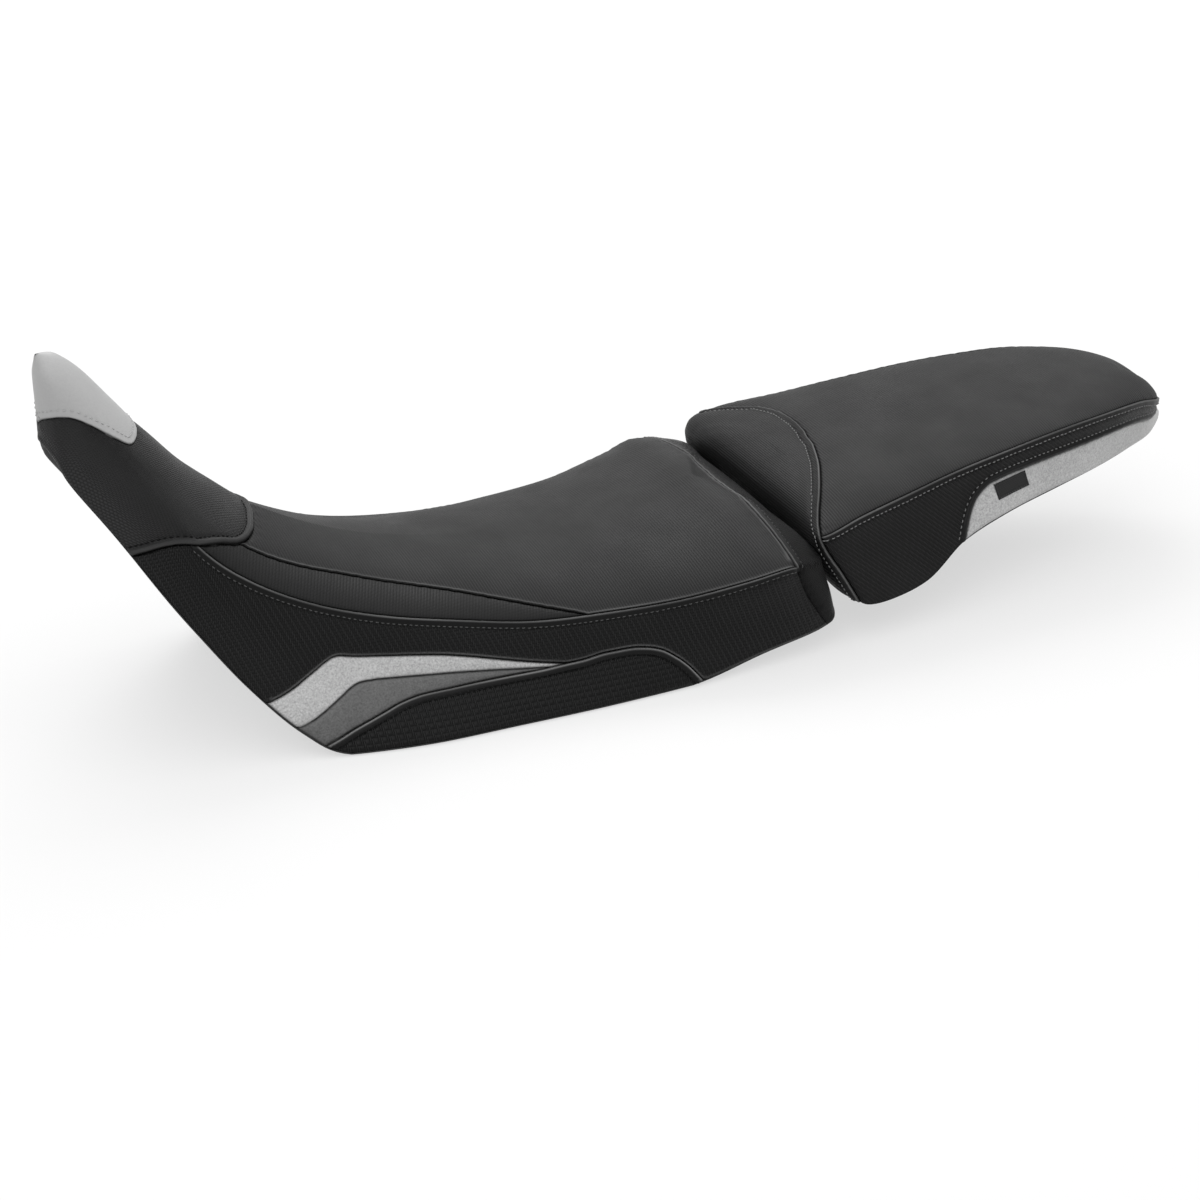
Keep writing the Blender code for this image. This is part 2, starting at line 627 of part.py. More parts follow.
def passenger_covers(cushion, parent):
    """Sewn cover of the passenger seat, panel by panel."""
    top_rows = steps((0.0, 0), (SHOULDER, TOP_STEPS))
    side_rows = steps((SHOULDER, 0), (1.0, PASSENGER_SIDE_STEPS))
    rows = np.concatenate([top_rows, side_rows[1:]])

    def station_of(f, share):
        front = seam_station(FRONT_PANEL_SEAM, share)
        return front + f * (cushion.last - front)

    columns = steps(*FRONT_COLUMNS)
    share = np.repeat(rows[:, None], len(columns), axis=1)
    station = seam_station(FRONT_PANEL_SEAM, share) * columns[None, :]
    edges = ["last_column"]
    cover_panel("passenger_front_panel", cushion, station, share, edges, "both", "ribbed_vinyl", parent)

    silver = []
    for station, share in PASSENGER_SILVER_SEAM:
        front = seam_station(FRONT_PANEL_SEAM, share)
        silver.append((float((station - front) / (cushion.last - front)), share))
    start = silver[0][0]
    fs = steps((0.0, 0), (start, 6), (start + TAIL_TIP, 1), (start + 5 * TAIL_TIP, 4), (1.0, 11))

    def silver_edge(f):
        return np.where(f < start, 1.0, monotone(silver, f))

    share = np.repeat(top_rows[:, None], len(fs), axis=1)
    cover_panel("passenger_seat_panel", cushion, station_of(fs[None, :], share), share,
                ["first_column", "last_row"], "both", "ribbed_vinyl", parent)

    def panel(name, low, high, rows, columns, side, material):
        down = np.linspace(0, 1, rows)[:, None]
        share = low(columns)[None, :] + (high(columns) - low(columns))[None, :] * down
        station = station_of(columns[None, :], share)
        cover_panel(name, cushion, station, share, ALL_EDGES, side, material, parent)

    def shoulder(f):
        return np.full_like(f, SHOULDER)

    tail = fs[fs > start + TAIL_TIP / 2]
    rows = PASSENGER_SIDE_STEPS + 1
    for side, _ in SIDES:
        panel("passenger_flank_" + side, shoulder, silver_edge, rows, fs, side, "black_vinyl")
        panel("passenger_silver_" + side, silver_edge, np.ones_like, 3, tail, side, "silver_vinyl")


def tree_of(thing):
    """Search tree of an object's own mesh."""
    shape = bmesh.new()
    shape.from_mesh(thing.data)
    tree = BVHTree.FromBMesh(shape)
    shape.free()
    return tree


def height_under(tree, x, y):
    """Height of the underside above a point, in millimetres."""
    hit = tree.ray_cast(Vector((x, y, -1.0 / MM)) * MM, Vector((0, 0, 1)))[0]
    return hit.z / MM


def seated_pad(name, tree, plan, faces, rim, height, material, parent):
    """Pad with a flat foot and a top that follows the underside of the pan with the seat fit.

    plan holds the (x, y) points of the top, faces joins them and rim runs round its edge.
    Returns the height of the foot.
    """
    def under(x, y):
        return height_under(tree, x, y) - SEAT_FIT

    top = np.array([under(x, y) for x, y in plan])
    flat = np.array(plan)
    spots = [np.array(pair) for face in faces for pair in zip(face, face[1:] + face[:1])]
    spots += [np.array(face) for face in faces]
    top -= max(max(top[spot].mean() - under(*flat[spot].mean(axis=0)) for spot in spots), 0.0)
    foot = top.min() - height
    count, edge = len(plan), len(rim)
    points = [(x, y, z) for (x, y), z in zip(plan, top)] + [(*plan[i], foot) for i in rim]
    walls = [[rim[i], rim[(i + 1) % edge], count + (i + 1) % edge, count + i] for i in range(edge)]
    make_object(name, points, faces + walls + [[count + i for i in range(edge)]], material, parent)
    return foot


def round_pad(name, tree, x, y, parent):
    """Round seated rubber bumper."""
    sides = BUMPER_SIDES
    inner = ring(x, y, BUMPER_DIAMETER / 4, sides)
    outer = ring(x, y, BUMPER_DIAMETER / 2, sides)
    faces = [[i, (i + 1) % sides, sides + (i + 1) % sides, sides + i] for i in range(sides)]
    faces += [[i, (i + 1) % sides, 2 * sides] for i in range(sides)]
    rim = [sides + i for i in range(sides)]
    return seated_pad(name, tree, inner + outer + [(x, y)], faces, rim, BUMPER_HEIGHT, "rubber", parent)


def square_pad(name, tree, x, length, width, parent):
    """Seated steel plate on the centre plane."""
    xs = np.linspace(x - length / 2, x + length / 2, PLATE_STEPS + 1)
    ys = np.linspace(-width / 2, width / 2, PLATE_STEPS + 1)
    plan = [(px, py) for px in xs for py in ys]
    side = PLATE_STEPS + 1
    rim = list(range(side)) + [i * side + side - 1 for i in range(1, side)]
    rim += [(side - 1) * side + i for i in range(side - 2, -1, -1)]
    rim += [i * side for i in range(side - 2, 0, -1)]
    return seated_pad(name, tree, plan, grid_faces(side, side), rim, PLATE_THICK, "zinc_steel", parent)


def ring(x, y, radius, sides):
    """Corners of a round or many-sided outline."""
    turns = [2 * math.pi * i / sides for i in range(sides)]
    return [(x + radius * math.cos(turn), y + radius * math.sin(turn)) for turn in turns]


def prism(name, outline, low, high, material, parent):
    """Upright solid of an outline."""
    count = len(outline)
    points = [(x, y, low) for x, y in outline] + [(x, y, high) for x, y in outline]
    faces = [[i, (i + 1) % count, count + (i + 1) % count, count + i] for i in range(count)]
    faces += [list(range(count)), list(range(count, 2 * count))]
    return make_object(name, points, faces, material, parent)


def side_profile(name, profile, y, width, material, parent):
    """Solid of a side-view profile, carried across a width."""
    count = len(profile)
    points = [(x, y - width / 2, z) for x, z in profile] + [(x, y + width / 2, z) for x, z in profile]
    faces = [[i, (i + 1) % count, count + (i + 1) % count, count + i] for i in range(count)]
    faces += [list(range(count)), list(range(count, 2 * count))]
    return make_object(name, points, faces, material, parent)


def hook(name, tree, x, y, width, toward, parent):
    """Bent steel hook under the pan: a base on the pan, a leg down and a toe that reaches along X."""
    ends = (x - toward * HOOK_BASE / 2, x + toward * HOOK_BASE / 2)
    corners = [height_under(tree, ex, ey) for ex in (*ends, x) for ey in (y - width / 2, y, y + width / 2)]
    top = min(corners) - SEAT_FIT
    back, front = ends
    profile = [(back, top), (front, top), (front, top - HOOK_DROP + PLATE_THICK)]
    profile += [(front + toward * HOOK_REACH, top - HOOK_DROP + PLATE_THICK)]
    profile += [(front + toward * HOOK_REACH, top - HOOK_DROP)]
    profile += [(front - toward * PLATE_THICK, top - HOOK_DROP)]
    profile += [(front - toward * PLATE_THICK, top - PLATE_THICK), (back, top - PLATE_THICK)]
    return side_profile(name, profile, y, width, "zinc_steel", parent)


def striker_loop(name, x, top, parent):
    """U-shaped round rod that the lock grips, across the seat."""
    half, turn = STRIKER_SPAN / 2, STRIKER_SPAN / 4
    path = [(x, -half, top), (x, -half, top - STRIKER_DROP + turn)]
    bends = np.linspace(0, math.pi / 2, ROD_BEND_STEPS + 1)[1:]
    low = top - STRIKER_DROP + turn
    path += [(x, -half + turn - turn * math.cos(b), low - turn * math.sin(b)) for b in bends]
    path += [(px, -py, pz) for px, py, pz in reversed(path)]
    sides = ROD_SIDES
    points, faces = [], []
    for i, place in enumerate(path):
        ahead = Vector(path[min(i + 1, len(path) - 1)]) - Vector(path[max(i - 1, 0)])
        across = Vector((1, 0, 0))
        other = ahead.normalized().cross(across)
        for k in range(sides):
            angle = 2 * math.pi * k / sides
            rim = across * math.cos(angle) + other * math.sin(angle)
            points.append(tuple(Vector(place) + rim * STRIKER_ROD / 2))
    for i in range(len(path) - 1):
        for k in range(sides):
            a, b = i * sides + k, i * sides + (k + 1) % sides
            faces.append([a, b, b + sides, a + sides])
    faces.append(list(range(sides)))
    faces.append([(len(path) - 1) * sides + k for k in range(sides)])
    return make_object(name, points, faces, "zinc_steel", parent)


def bumpers(prefix, tree, places, fit, parent):
    """Pairs of rubber bumpers, from the front to the rear."""
    for row, (drawn_x, drawn_y) in places.items():
        x, y, _ = fit(drawn_x, drawn_y, 0)
        for side, way in SIDES:
            round_pad(f"{prefix}_bumper_{row}_{side}", tree, x, way * y, parent)


def rider_hardware(pan, fit, parent):
    """Bumpers, front tongue and rear hooks under the rider's pan."""
    tree = tree_of(pan)
    bumpers("rider", tree, RIDER_BUMPERS, fit, parent)
    x = fit(TONGUE_PLACE, 0, 0)[0]
    foot = square_pad("rider_front_tongue", tree, x, TONGUE_BASE, TONGUE_WIDTH, parent)
    foot -= SEAT_FIT
    hook_x, hook_y, _ = fit(*RIDER_HOOK_PLACE, 0)
    for side, way in SIDES:
        outline = ring(x, way * TONGUE_WIDTH / 4, RIVET_DIAMETER / 2, RIVET_SIDES)
        prism("rider_tongue_rivet_" + side, outline, foot - RIVET_HEAD, foot, "zinc_steel", parent)
        hook("rider_rear_hook_" + side, tree, hook_x, way * hook_y, HOOK_WIDTH, 1, parent)


def passenger_hardware(pan, fit, parent):
    """Bumpers, front hooks and the lock striker under the passenger's pan."""
    tree = tree_of(pan)
    bumpers("passenger", tree, PASSENGER_BUMPERS, fit, parent)
    hook_x, hook_y, _ = fit(*PASSENGER_HOOK_PLACE, 0)
    for side, way in SIDES:
        hook("passenger_front_hook_" + side, tree, hook_x, way * hook_y, HOOK_WIDTH, -1, parent)
    x = fit(STRIKER_PLACE, 0, 0)[0]
    foot = square_pad("passenger_striker_plate", tree, x, STRIKER_PLATE_LENGTH, STRIKER_PLATE_WIDTH, parent)
    foot -= SEAT_FIT
    striker_loop("passenger_striker_loop", x, foot, parent)
    for end, way in (("front", -1), ("rear", 1)):
        outline = ring(x + way * STRIKER_PLATE_LENGTH / 3, 0, NUT_ACROSS / math.sqrt(3), NUT_SIDES)
        prism("passenger_striker_nut_" + end, outline, foot - NUT_HEIGHT, foot, "zinc_steel", parent)


def side_tag(cushion, parent):
    """Blank woven tag sewn on the left side, over the edge of the silver panel."""
    middle, share = TAG_PLACE
    ahead = cushion.surface(middle + SLOPE_STATION, share) - cushion.surface(middle - SLOPE_STATION, share)
    down = cushion.surface(middle, share + SLOPE_SHARE) - cushion.surface(middle, share - SLOPE_SHARE)
    length = np.linalg.norm(ahead) / (2 * SLOPE_STATION)
    height = np.linalg.norm(down) / (2 * SLOPE_SHARE)
    station = middle + np.linspace(-0.5, 0.5, 5)[None, :] * TAG_LENGTH / length
    rows = share + np.linspace(-0.5, 0.5, 3)[:, None] * TAG_HEIGHT / height
    station, rows = np.broadcast_arrays(station, rows)
    depths = (-TAG_STAND - TAG_THICK, -TAG_STAND)
    patch_solid("passenger_tag", cushion, station, rows, depths, "left", "tag_fabric", parent)


def centre_on_floor(empties):
    """Moves both seats together so that the origin is under the middle of their box, at its lowest point."""
    meshes = [thing.data for thing in bpy.data.objects if thing.type == "MESH"]
    corners = np.array([corner.co for mesh in meshes for corner in mesh.vertices])
    low, high = corners.min(axis=0), corners.max(axis=0)
    for empty in empties:
        empty.location = (-(low[0] + high[0]) / 2, -(low[1] + high[1]) / 2, -low[2])


def main():
    clear_scene()
    rider = bpy.data.objects.new("rider_seat", None)
    passenger = bpy.data.objects.new("passenger_seat", None)
    for empty in (rider, passenger):
        bpy.context.collection.objects.link(empty)

    size = (RIDER_LENGTH, RIDER_WIDTH, RIDER_HEIGHT)
    rider_fit = stretched(RIDER_STATIONS, size, 0.0, 0.0, 0.0)
    cores = (NOSE_CORE, RIDER_LENGTH - REAR_CORE)
    rider_shape = Cushion(RIDER_STATIONS, rider_fit, cores, RIDER_FOAM_DEPTH, RIDER_DRAW)
    front = min(row[1][0] for row in PASSENGER_STATIONS)
    place = rider_shape.shoulder[:, 0].max() + SEAT_GAP
    size = (PASSENGER_LENGTH, PASSENGER_WIDTH, PASSENGER_HEIGHT)
    passenger_fit = stretched(PASSENGER_STATIONS, size, front, place, PASSENGER_LIFT)
    cores = (place + PASSENGER_FRONT_CORE, place + PASSENGER_LENGTH - PASSENGER_TAIL_CORE)
    passenger_shape = Cushion(PASSENGER_STATIONS, passenger_fit, cores, PASSENGER_FOAM_DEPTH, PASSENGER_DRAW)

    rider_covers(rider_shape, rider)
    shares = steps(*SECTION_ROWS)
    pan = foam_and_pan("rider", rider_shape, steps(*RIDER_RINGS), shares, rider)
    rider_hardware(pan, rider_fit, rider)

    passenger_covers(passenger_shape, passenger)
    pan = foam_and_pan("passenger", passenger_shape, steps(*PASSENGER_RINGS), shares, passenger)
    passenger_hardware(pan, passenger_fit, passenger)
    side_tag(passenger_shape, passenger)
    centre_on_floor((rider, passenger))


main()
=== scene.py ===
"""Dressed look of a two-piece touring motorcycle seat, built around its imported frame.

The sewn covers are worked out in millimetres on the drawing of the seat, with the nose tip at x = 0 and the hem at
z = 0, and are carried into the frame in metres. The bike's left side is -Y and +X runs to the rear.
"""

import json
import math

import bmesh
import bpy
import numpy as np
from bpy.props import FloatProperty, FloatVectorProperty, PointerProperty
from mathutils import Matrix, Vector
from mathutils.bvhtree import BVHTree
from mathutils.kdtree import KDTree


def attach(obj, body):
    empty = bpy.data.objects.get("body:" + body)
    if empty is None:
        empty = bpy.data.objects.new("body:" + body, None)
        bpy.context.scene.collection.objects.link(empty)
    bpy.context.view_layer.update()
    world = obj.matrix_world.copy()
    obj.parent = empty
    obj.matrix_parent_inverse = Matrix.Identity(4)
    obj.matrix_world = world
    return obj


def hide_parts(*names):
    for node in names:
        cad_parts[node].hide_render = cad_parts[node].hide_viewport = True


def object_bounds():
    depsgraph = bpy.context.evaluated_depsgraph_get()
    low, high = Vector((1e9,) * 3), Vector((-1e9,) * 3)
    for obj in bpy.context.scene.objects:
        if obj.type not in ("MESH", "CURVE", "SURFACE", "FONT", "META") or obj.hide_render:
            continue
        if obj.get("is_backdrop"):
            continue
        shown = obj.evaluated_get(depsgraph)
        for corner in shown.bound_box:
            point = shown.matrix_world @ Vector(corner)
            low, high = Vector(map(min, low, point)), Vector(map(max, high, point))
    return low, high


bl_info = {
    "name": "Touring Seat Dresser",
    "version": (1, 0, 0),
    "blender": (4, 5, 0),
    "location": "View3D > Sidebar > Touring Seat",
    "description": "Sews covers, stitching and hems on a two-piece motorcycle seat and sets its studio",
    "category": "Object",
}

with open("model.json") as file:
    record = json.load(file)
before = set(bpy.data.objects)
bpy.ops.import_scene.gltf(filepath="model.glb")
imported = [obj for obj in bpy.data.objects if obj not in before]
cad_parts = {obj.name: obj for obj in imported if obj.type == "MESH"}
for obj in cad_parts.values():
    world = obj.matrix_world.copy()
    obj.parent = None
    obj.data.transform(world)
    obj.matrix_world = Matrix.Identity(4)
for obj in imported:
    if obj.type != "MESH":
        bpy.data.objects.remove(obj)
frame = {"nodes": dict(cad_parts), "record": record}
CAD_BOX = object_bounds()
MM = 0.001

# Share of a section where the shoulder seam lies, between the crown at 0 and the hem at 1
SHOULDER = 0.5

# Height of the core above the hem
CORE_LIFT = 5.0

# Foam: depth below the cover, gap above the pan, and shares where its upper and its lower face end
FOAM_BACK = 4.8
FOAM_GAP = 0.5
FOAM_SHARES = (0.95, 0.915)

# Pan: thickness, share and depth of its rim, share of its inner rim, and how far it lies towards the core below the
# shoulder and the hem
PAN_WALL = 3.0
PAN_RIM = (0.998, 3.8)
PAN_INNER_RIM = 0.995
SHOULDER_FOAM_SHARE = 0.24
HEM_FOAM_SHARE = 0.09

# How fast a section leaves its start and arrives at its end along x, y and z, above and below the shoulder
TOP_LEAVE, TOP_ARRIVE = (1.0, 1.0, 0.0), (0.8, 0.8, 2.2)
SIDE_LEAVE, SIDE_ARRIVE = (0.7, 0.7, 1.2), (1.1, 1.1, 0.9)

# The sides are drawn in from this many stations behind the front, and swell instead round the rear corner
DRAW_FADE = 4.0
REAR_SWELL_FROM, REAR_SWELL_FADE, REAR_SWELL = 14.0, 0.8, 1.5

# Steps for the surface's direction, share within which it is taken further out near the crown's end, and the place
# beside either end of the crown whose direction stands for the end's own
STATION_STEP, SHARE_STEP, END_REACH = 0.05, 0.03, 0.12
END_STATION, END_SHARE = 0.3, 0.1

# Share over which a soft edge is rounded, and over how many stations and how much of the section this fades
NOSE_SOFT, NOSE_SEAM_FADE, NOSE_TIP_FADE, NOSE_HEM_FADE = 0.24, 1.6, 1.5, 0.3
FRONT_SOFT, FRONT_SEAM_FADE, FRONT_HEM_FADE = 0.27, 1.3, 0.35

# Points of a panel's lines along, across and at its edges, before they are spaced out evenly
ALONG_POINTS, ACROSS_POINTS, EDGE_POINTS = 1500, 140, 700

# Stations per drawn station in the rings of foam and hem, and rings of the foam above and below
FOAM_STEPS, HEM_STEPS = 14, 16
FOAM_RINGS = (44, 30)

# Spacing of the points along a sewn edge, reach and wavelengths of the puckers beside it, softness of a welt's rim
# and of its shade, and how far a panel dips at its seams
EDGE_STEP = 0.6
PUCKER_REACH = 9.0
PUCKER_WAVES = (9.3, 14.7)
WELT_SOFT = 0.8
SHADE_SOFT = 0.6
SEAM_DIP = 0.35

# Turned hem: shares of its rows on the inner wall of the pan, its distance from the wall, its drop below the rim, and
# share, distance from the wall and wire of the staples, the wire as a share of their width
HEM_SHARES = (0.985, 0.965, 0.945, 0.925)
HEM_BACK = 1.0
HEM_DROP = 1.2
STAPLE_SHARE = 0.945
STAPLE_BACK = 1.5
STAPLE_WIRE = 0.11

# Stations from the front centre line round the side to the rear centre line, drawn and then fitted to the outline in
# the photograph, some of the end ones changed:
# crown (x, z), shoulder (x, half width, z), hem (x, half width, z)
RIDER_STATIONS = (
    ((-9, 312), (-11, 0, 297), (-11, 0, 241)),
    ((8, 310.5), (-5, 19, 292), (-6, 17, 232)),
    ((25, 297), (13, 31, 276), (1, 32, 217)),
    ((48, 269), (36, 46, 246), (25, 55, 182)),
    ((76, 235.5), (62, 60, 205), (52, 78, 140)),
    ((110, 197.5), (90, 76, 163), (79, 93, 100)),
    ((150, 162), (124, 89, 135.5), (111, 109, 56)),
    ((196, 134.5), (172, 96, 110), (146, 126, 19)),
    ((248, 114), (226, 100, 91), (180, 139, 0)),
    ((306, 101), (284, 105.5, 78), (246, 149, 0)),
    ((364, 95.5), (344, 114.5, 68.5), (320, 150, 0)),
    ((420, 94.5), (404, 120.5, 66), (396, 150, 0)),
    ((472, 98), (466, 129.5, 68.5), (470, 147, 0)),
    ((510, 104), (520, 139, 77), (536, 140, 10)),
    ((532, 110), (555, 144, 84), (592, 134, 18)),
    ((538, 110.6), (592, 128, 78), (611, 121, 24)),
    ((541.5, 109.3), (584, 64, 89), (617, 62, 26)),
    ((543.5, 108.2), (585, 0, 89), (618, 0, 26)),
)

# Stations where the pans are drawn for plainer covers
RIDER_PAN_STATIONS = {
    0: ((-4, 311), (-13, 0, 295), (-11, 0, 241)),
    1: ((7, 308), (-5, 19, 292), (-6, 17, 232)),
    2: ((24, 295), (13, 31, 276), (1, 32, 217)),
    15: ((541, 111), (567, 125, 84.5), (611, 121, 24)),
    16: ((544, 108), (573, 64, 84), (617, 62, 26)),
    17: ((546, 107), (577, 0, 82), (618, 0, 26)),
}
PASSENGER_PAN_STATIONS = {
    11: ((942, 139), (967.5, 40.5, 119), (971, 29, 82)),
    12: ((954, 131), (986, 0, 106), (995, 0, 88)),
}
PASSENGER_STATIONS = (
    ((626, 120), (590, 0, 99.5), (622, 0, 40)),
    ((628, 121), (589, 62, 99), (622, 60, 39)),
    ((632, 122), (587, 108, 97.5), (618, 104, 37)),
    ((642, 124), (593, 130, 99), (626, 127, 33)),
    ((664, 127), (631, 127, 109), (648, 129.5, 28)),
    ((700, 131), (679.5, 117, 115.5), (694, 124, 36)),
    ((742, 135), (728.5, 108.5, 123), (732, 118.5, 62)),
    ((788, 138), (785, 100.5, 129.5), (782, 107.5, 75)),
    ((834, 140.5), (838.5, 92, 134), (838, 92, 80.5)),
    ((879, 143), (888.5, 82, 135.5), (888, 74, 82)),
    ((916, 144), (933, 65, 131.5), (934, 51, 81.5)),
    ((942, 139.5), (967.5, 40.5, 119), (971, 29, 82)),
    ((952, 133.5), (986, 0, 106), (995, 0, 88)),
)

# Seams, as (station, share of the section) points, picked on the photograph and traced back through its camera
NOSE_CAP_SEAM = ((3.69, 0.0), (3.67, 0.12), (3.58, 0.245), (3.41, 0.345), (3.15, 0.402), (2.74, 0.468),
                 (2.35, 0.524), (1.93, 0.577), (1.26, 0.664), (0.59, 0.755), (0.0, 0.843))
NOSE_SEAM = ((6.05, 0.0), (6.12, 0.083), (6.1, 0.186), (6.01, 0.263), (5.81, 0.335), (5.36, 0.411),
             (4.71, 0.542), (4.09, 0.745), (3.67, 0.9), (3.42, 1.0))
INSET_SEAM = ((5.81, 0.335), (6.28, 0.33), (6.8, 0.32), (7.48, 0.306), (8.17, 0.316), (8.79, 0.339),
              (9.64, 0.396), (10.4, 0.462), (10.7, 0.492))
SILVER_SEAM = ((6.3, 1.0), (6.43, 0.956), (6.75, 0.854), (7.03, 0.763), (7.3, 0.684), (7.42, 0.666),
               (7.64, 0.658), (8.07, 0.644), (8.52, 0.641), (8.77, 0.642), (9.22, 0.654), (9.67, 0.678),
               (10.12, 0.71), (10.5, 0.7397))
GREY_SEAM = ((6.88, 1.0), (7.04, 0.963), (7.41, 0.867), (7.66, 0.795), (7.76, 0.765), (7.88, 0.744),
             (8.1, 0.731), (8.59, 0.724), (9.12, 0.721), (9.55, 0.724), (9.98, 0.735), (10.3, 0.7465))
KICK_SEAM = ((7.5, 1.0), (7.76, 0.95), (7.97, 0.908), (8.17, 0.878), (8.34, 0.85), (8.47, 0.827),
             (8.73, 0.8), (9.08, 0.785), (9.42, 0.771), (9.84, 0.758), (10.2, 0.75), (10.46, 0.741),
             (10.69, 0.736), (10.99, 0.719), (11.28, 0.717), (11.5, 0.731), (11.68, 0.76), (11.83, 0.811),
             (11.98, 0.883), (12.13, 1.0))

# Rear corner and rear seam of the rider seat, the seam worked out beforehand from a line about 560 mm back, with some
# points changed
REAR_CORNER = 14.19
REAR_SEAM = ((14.19, 0.5), (14.217, 0.467), (14.255, 0.428), (14.328, 0.373), (14.42, 0.322), (14.543, 0.273),
             (14.742, 0.224), (15.04, 0.191), (15.533, 0.19), (16.078, 0.197), (16.535, 0.192), (17.0, 0.186))

# Seams of the passenger seat, picked and traced back in the same way as those up to KICK_SEAM
FRONT_PANEL_SEAM = ((3.3, 0.0), (3.42, 0.055), (3.4, 0.15), (3.28, 0.242), (3.14, 0.32), (2.98, 0.395),
                    (2.9, 0.46), (2.91, 0.52), (3.0, 0.63), (3.14, 0.76), (3.25, 1.0))
FRONT_PANEL_SEAM_RIGHT = ((3.3, 0.0), (3.6, 0.043), (3.98, 0.157), (4.1, 0.248), (4.08, 0.318), (3.96, 0.363),
                          (3.83, 0.42), (3.72, 0.468), (3.62, 0.53), (3.5, 0.7), (3.4, 1.0))
PASSENGER_SILVER_SEAM = ((6.05, 1.0), (6.2, 0.87), (6.35, 0.771), (6.51, 0.721), (6.68, 0.697), (7.0, 0.697),
                         (7.31, 0.704), (8.33, 0.711), (9.63, 0.717), (11.19, 0.778), (12.0, 0.83))

# Cross-sections of the sewn edges: height above the panel at distances from the seam
EDGES = {
    "flush": ((0.0, -0.9), (0.5, -0.3), (1.2, 0.0), (3.0, 0.0)),
    "plain": ((0.0, -1.6), (0.7, -0.9), (1.8, -0.25), (4.0, 0.0)),
    "lip": ((0.0, -1.4), (0.5, 0.2), (1.2, 0.75), (2.2, 0.35), (4.0, 0.0)),
    "felled": ((0.0, -1.4), (0.5, 0.5), (1.1, 1.3), (1.9, 1.05), (5.2, 0.95), (6.2, 0.5), (7.0, -0.8), (8.2, -0.25),
               (10.5, 0.0)),
    "rolled": ((0.0, -2.0), (0.5, 0.4), (1.6, 1.8), (2.9, 2.2), (4.2, 1.8), (5.5, 0.2), (6.4, -0.9), (7.6, -0.3),
               (10.0, 0.0)),
    "bound": ((0.0, -1.6), (0.5, 1.2), (1.1, 2.0), (2.1, 1.6), (4.4, 1.3), (5.4, 0.8), (6.3, -0.7), (7.6, -0.2),
              (10.0, 0.0)),
    "piped": ((0.0, -1.4), (0.5, 0.3), (1.4, 1.2), (2.6, 1.5), (4.0, 1.2), (5.0, 0.1), (5.8, -0.6), (7.0, -0.2),
              (9.0, 0.0)),
    "hidden": ((0.0, -0.5), (0.6, -0.15), (1.4, 0.0), (3.0, 0.0)),
    "hem": ((0.0, -0.6), (1.0, 0.1), (3.0, 0.4), (7.0, 0.0)),
}

# Looks of the sewn edges: place, width and strength of the painted highlight on the raised lip, width of the smooth
# welt, strength of the painted shade in the groove and darkness of the welt
LOOKS = {
    "flush": (1.0, 0.7, 0.0, 0.0, 1.0, 0.0),
    "plain": (1.0, 0.7, 0.0, 0.0, 1.0, 0.0),
    "lip": (1.5, 0.7, 0.3, 0.0, 0.8, 0.0),
    "felled": (1.0, 0.8, 0.6, 6.0, 0.8, 0.85),
    "rolled": (2.4, 1.5, 0.12, 5.6, 0.9, 0.0),
    "bound": (1.0, 0.8, 1.0, 5.4, 0.8, 0.0),
    "piped": (2.4, 1.0, 0.04, 5.4, 0.9, 0.6),
    "hidden": (1.0, 0.7, 0.0, 0.0, 0.2, 0.0),
    "hem": (1.0, 0.7, 0.0, 0.0, 0.0, 0.0),
}
# Width of the painted shade in a seam's groove
GROOVE_SHADE_WIDTH = 1.0

# Rings and sides of a stitch, and how far from its aim a stitch may land, as a share of its distance from the seam
STITCH_RINGS, STITCH_SIDES = 5, 6
STITCH_MISS = 0.7

# Colours of the painted highlight on a lip and of the painted shade in a groove, the latter also darkening some welts
LIP_HIGHLIGHT_COLOUR = (0.2, 0.2, 0.2, 1.0)
GROOVE_SHADE_AND_WELT_COLOUR = (0.002, 0.002, 0.002, 1.0)

# Distances of the closest mesh lines beside a sewn edge
FINE = np.array((0.0, 0.4, 0.8, 1.2, 1.7, 2.3, 3.1, 4.1, 5.1, 5.8, 6.4, 7.0, 7.7, 8.7, 10.2))

# Lowest height of a cover beside the hem, where the flange of the pan lies close behind it
HEM_SHARE = 0.95
HEM_LOWEST = -1.9

# Side tag: station and share of its middle, length and height, width of its border, lean, thickness, and stitches
TAG_PLACE = (7.03, 0.787)
TAG_SIZE = (34.0, 15.0)
TAG_BORDER = 1.7
TAG_LEAN = 0.35
TAG_THICKNESS = 0.0009
TAG_STITCH = 0.0017
TAG_THREAD = 0.0007
TAG_STITCH_ROW = 27
TAG_STITCHES = range(6, 64, 5)
TAG_PROBE = 0.02

# How far the ribs of the side bands lean back per length across the bike
BAND_LEAN = 0.467

# Gloss of the black vinyl, as the shader's specular level
VINYL_GLOSS = 0.14

# Place of the photograph's camera on the drawing of the seat, its direction and its lens, fitted to the photograph
CAMERA_AT = (-684.05, -2443.18, 1327.6)
CAMERA_AZIMUTH = -25.0
CAMERA_ELEVATION = 26.0
CAMERA_LENS = 108.41


def size(name, default, description):
    return FloatProperty(name=name, description=description, default=default, min=0.0, soft_max=0.1, precision=5,
                         subtype="DISTANCE", unit="LENGTH")


def colour(name, default, description):
    return FloatVectorProperty(name=name, description=description, default=default, size=3, min=0.0, max=1.0,
                               subtype="COLOR")


def factor(name, default, description):
    return FloatProperty(name=name, description=description, default=default, min=0.0, max=1.0, subtype="FACTOR")


def power(name, default, description):
    return FloatProperty(name=name, description=description, default=default, min=0.0, unit="POWER")


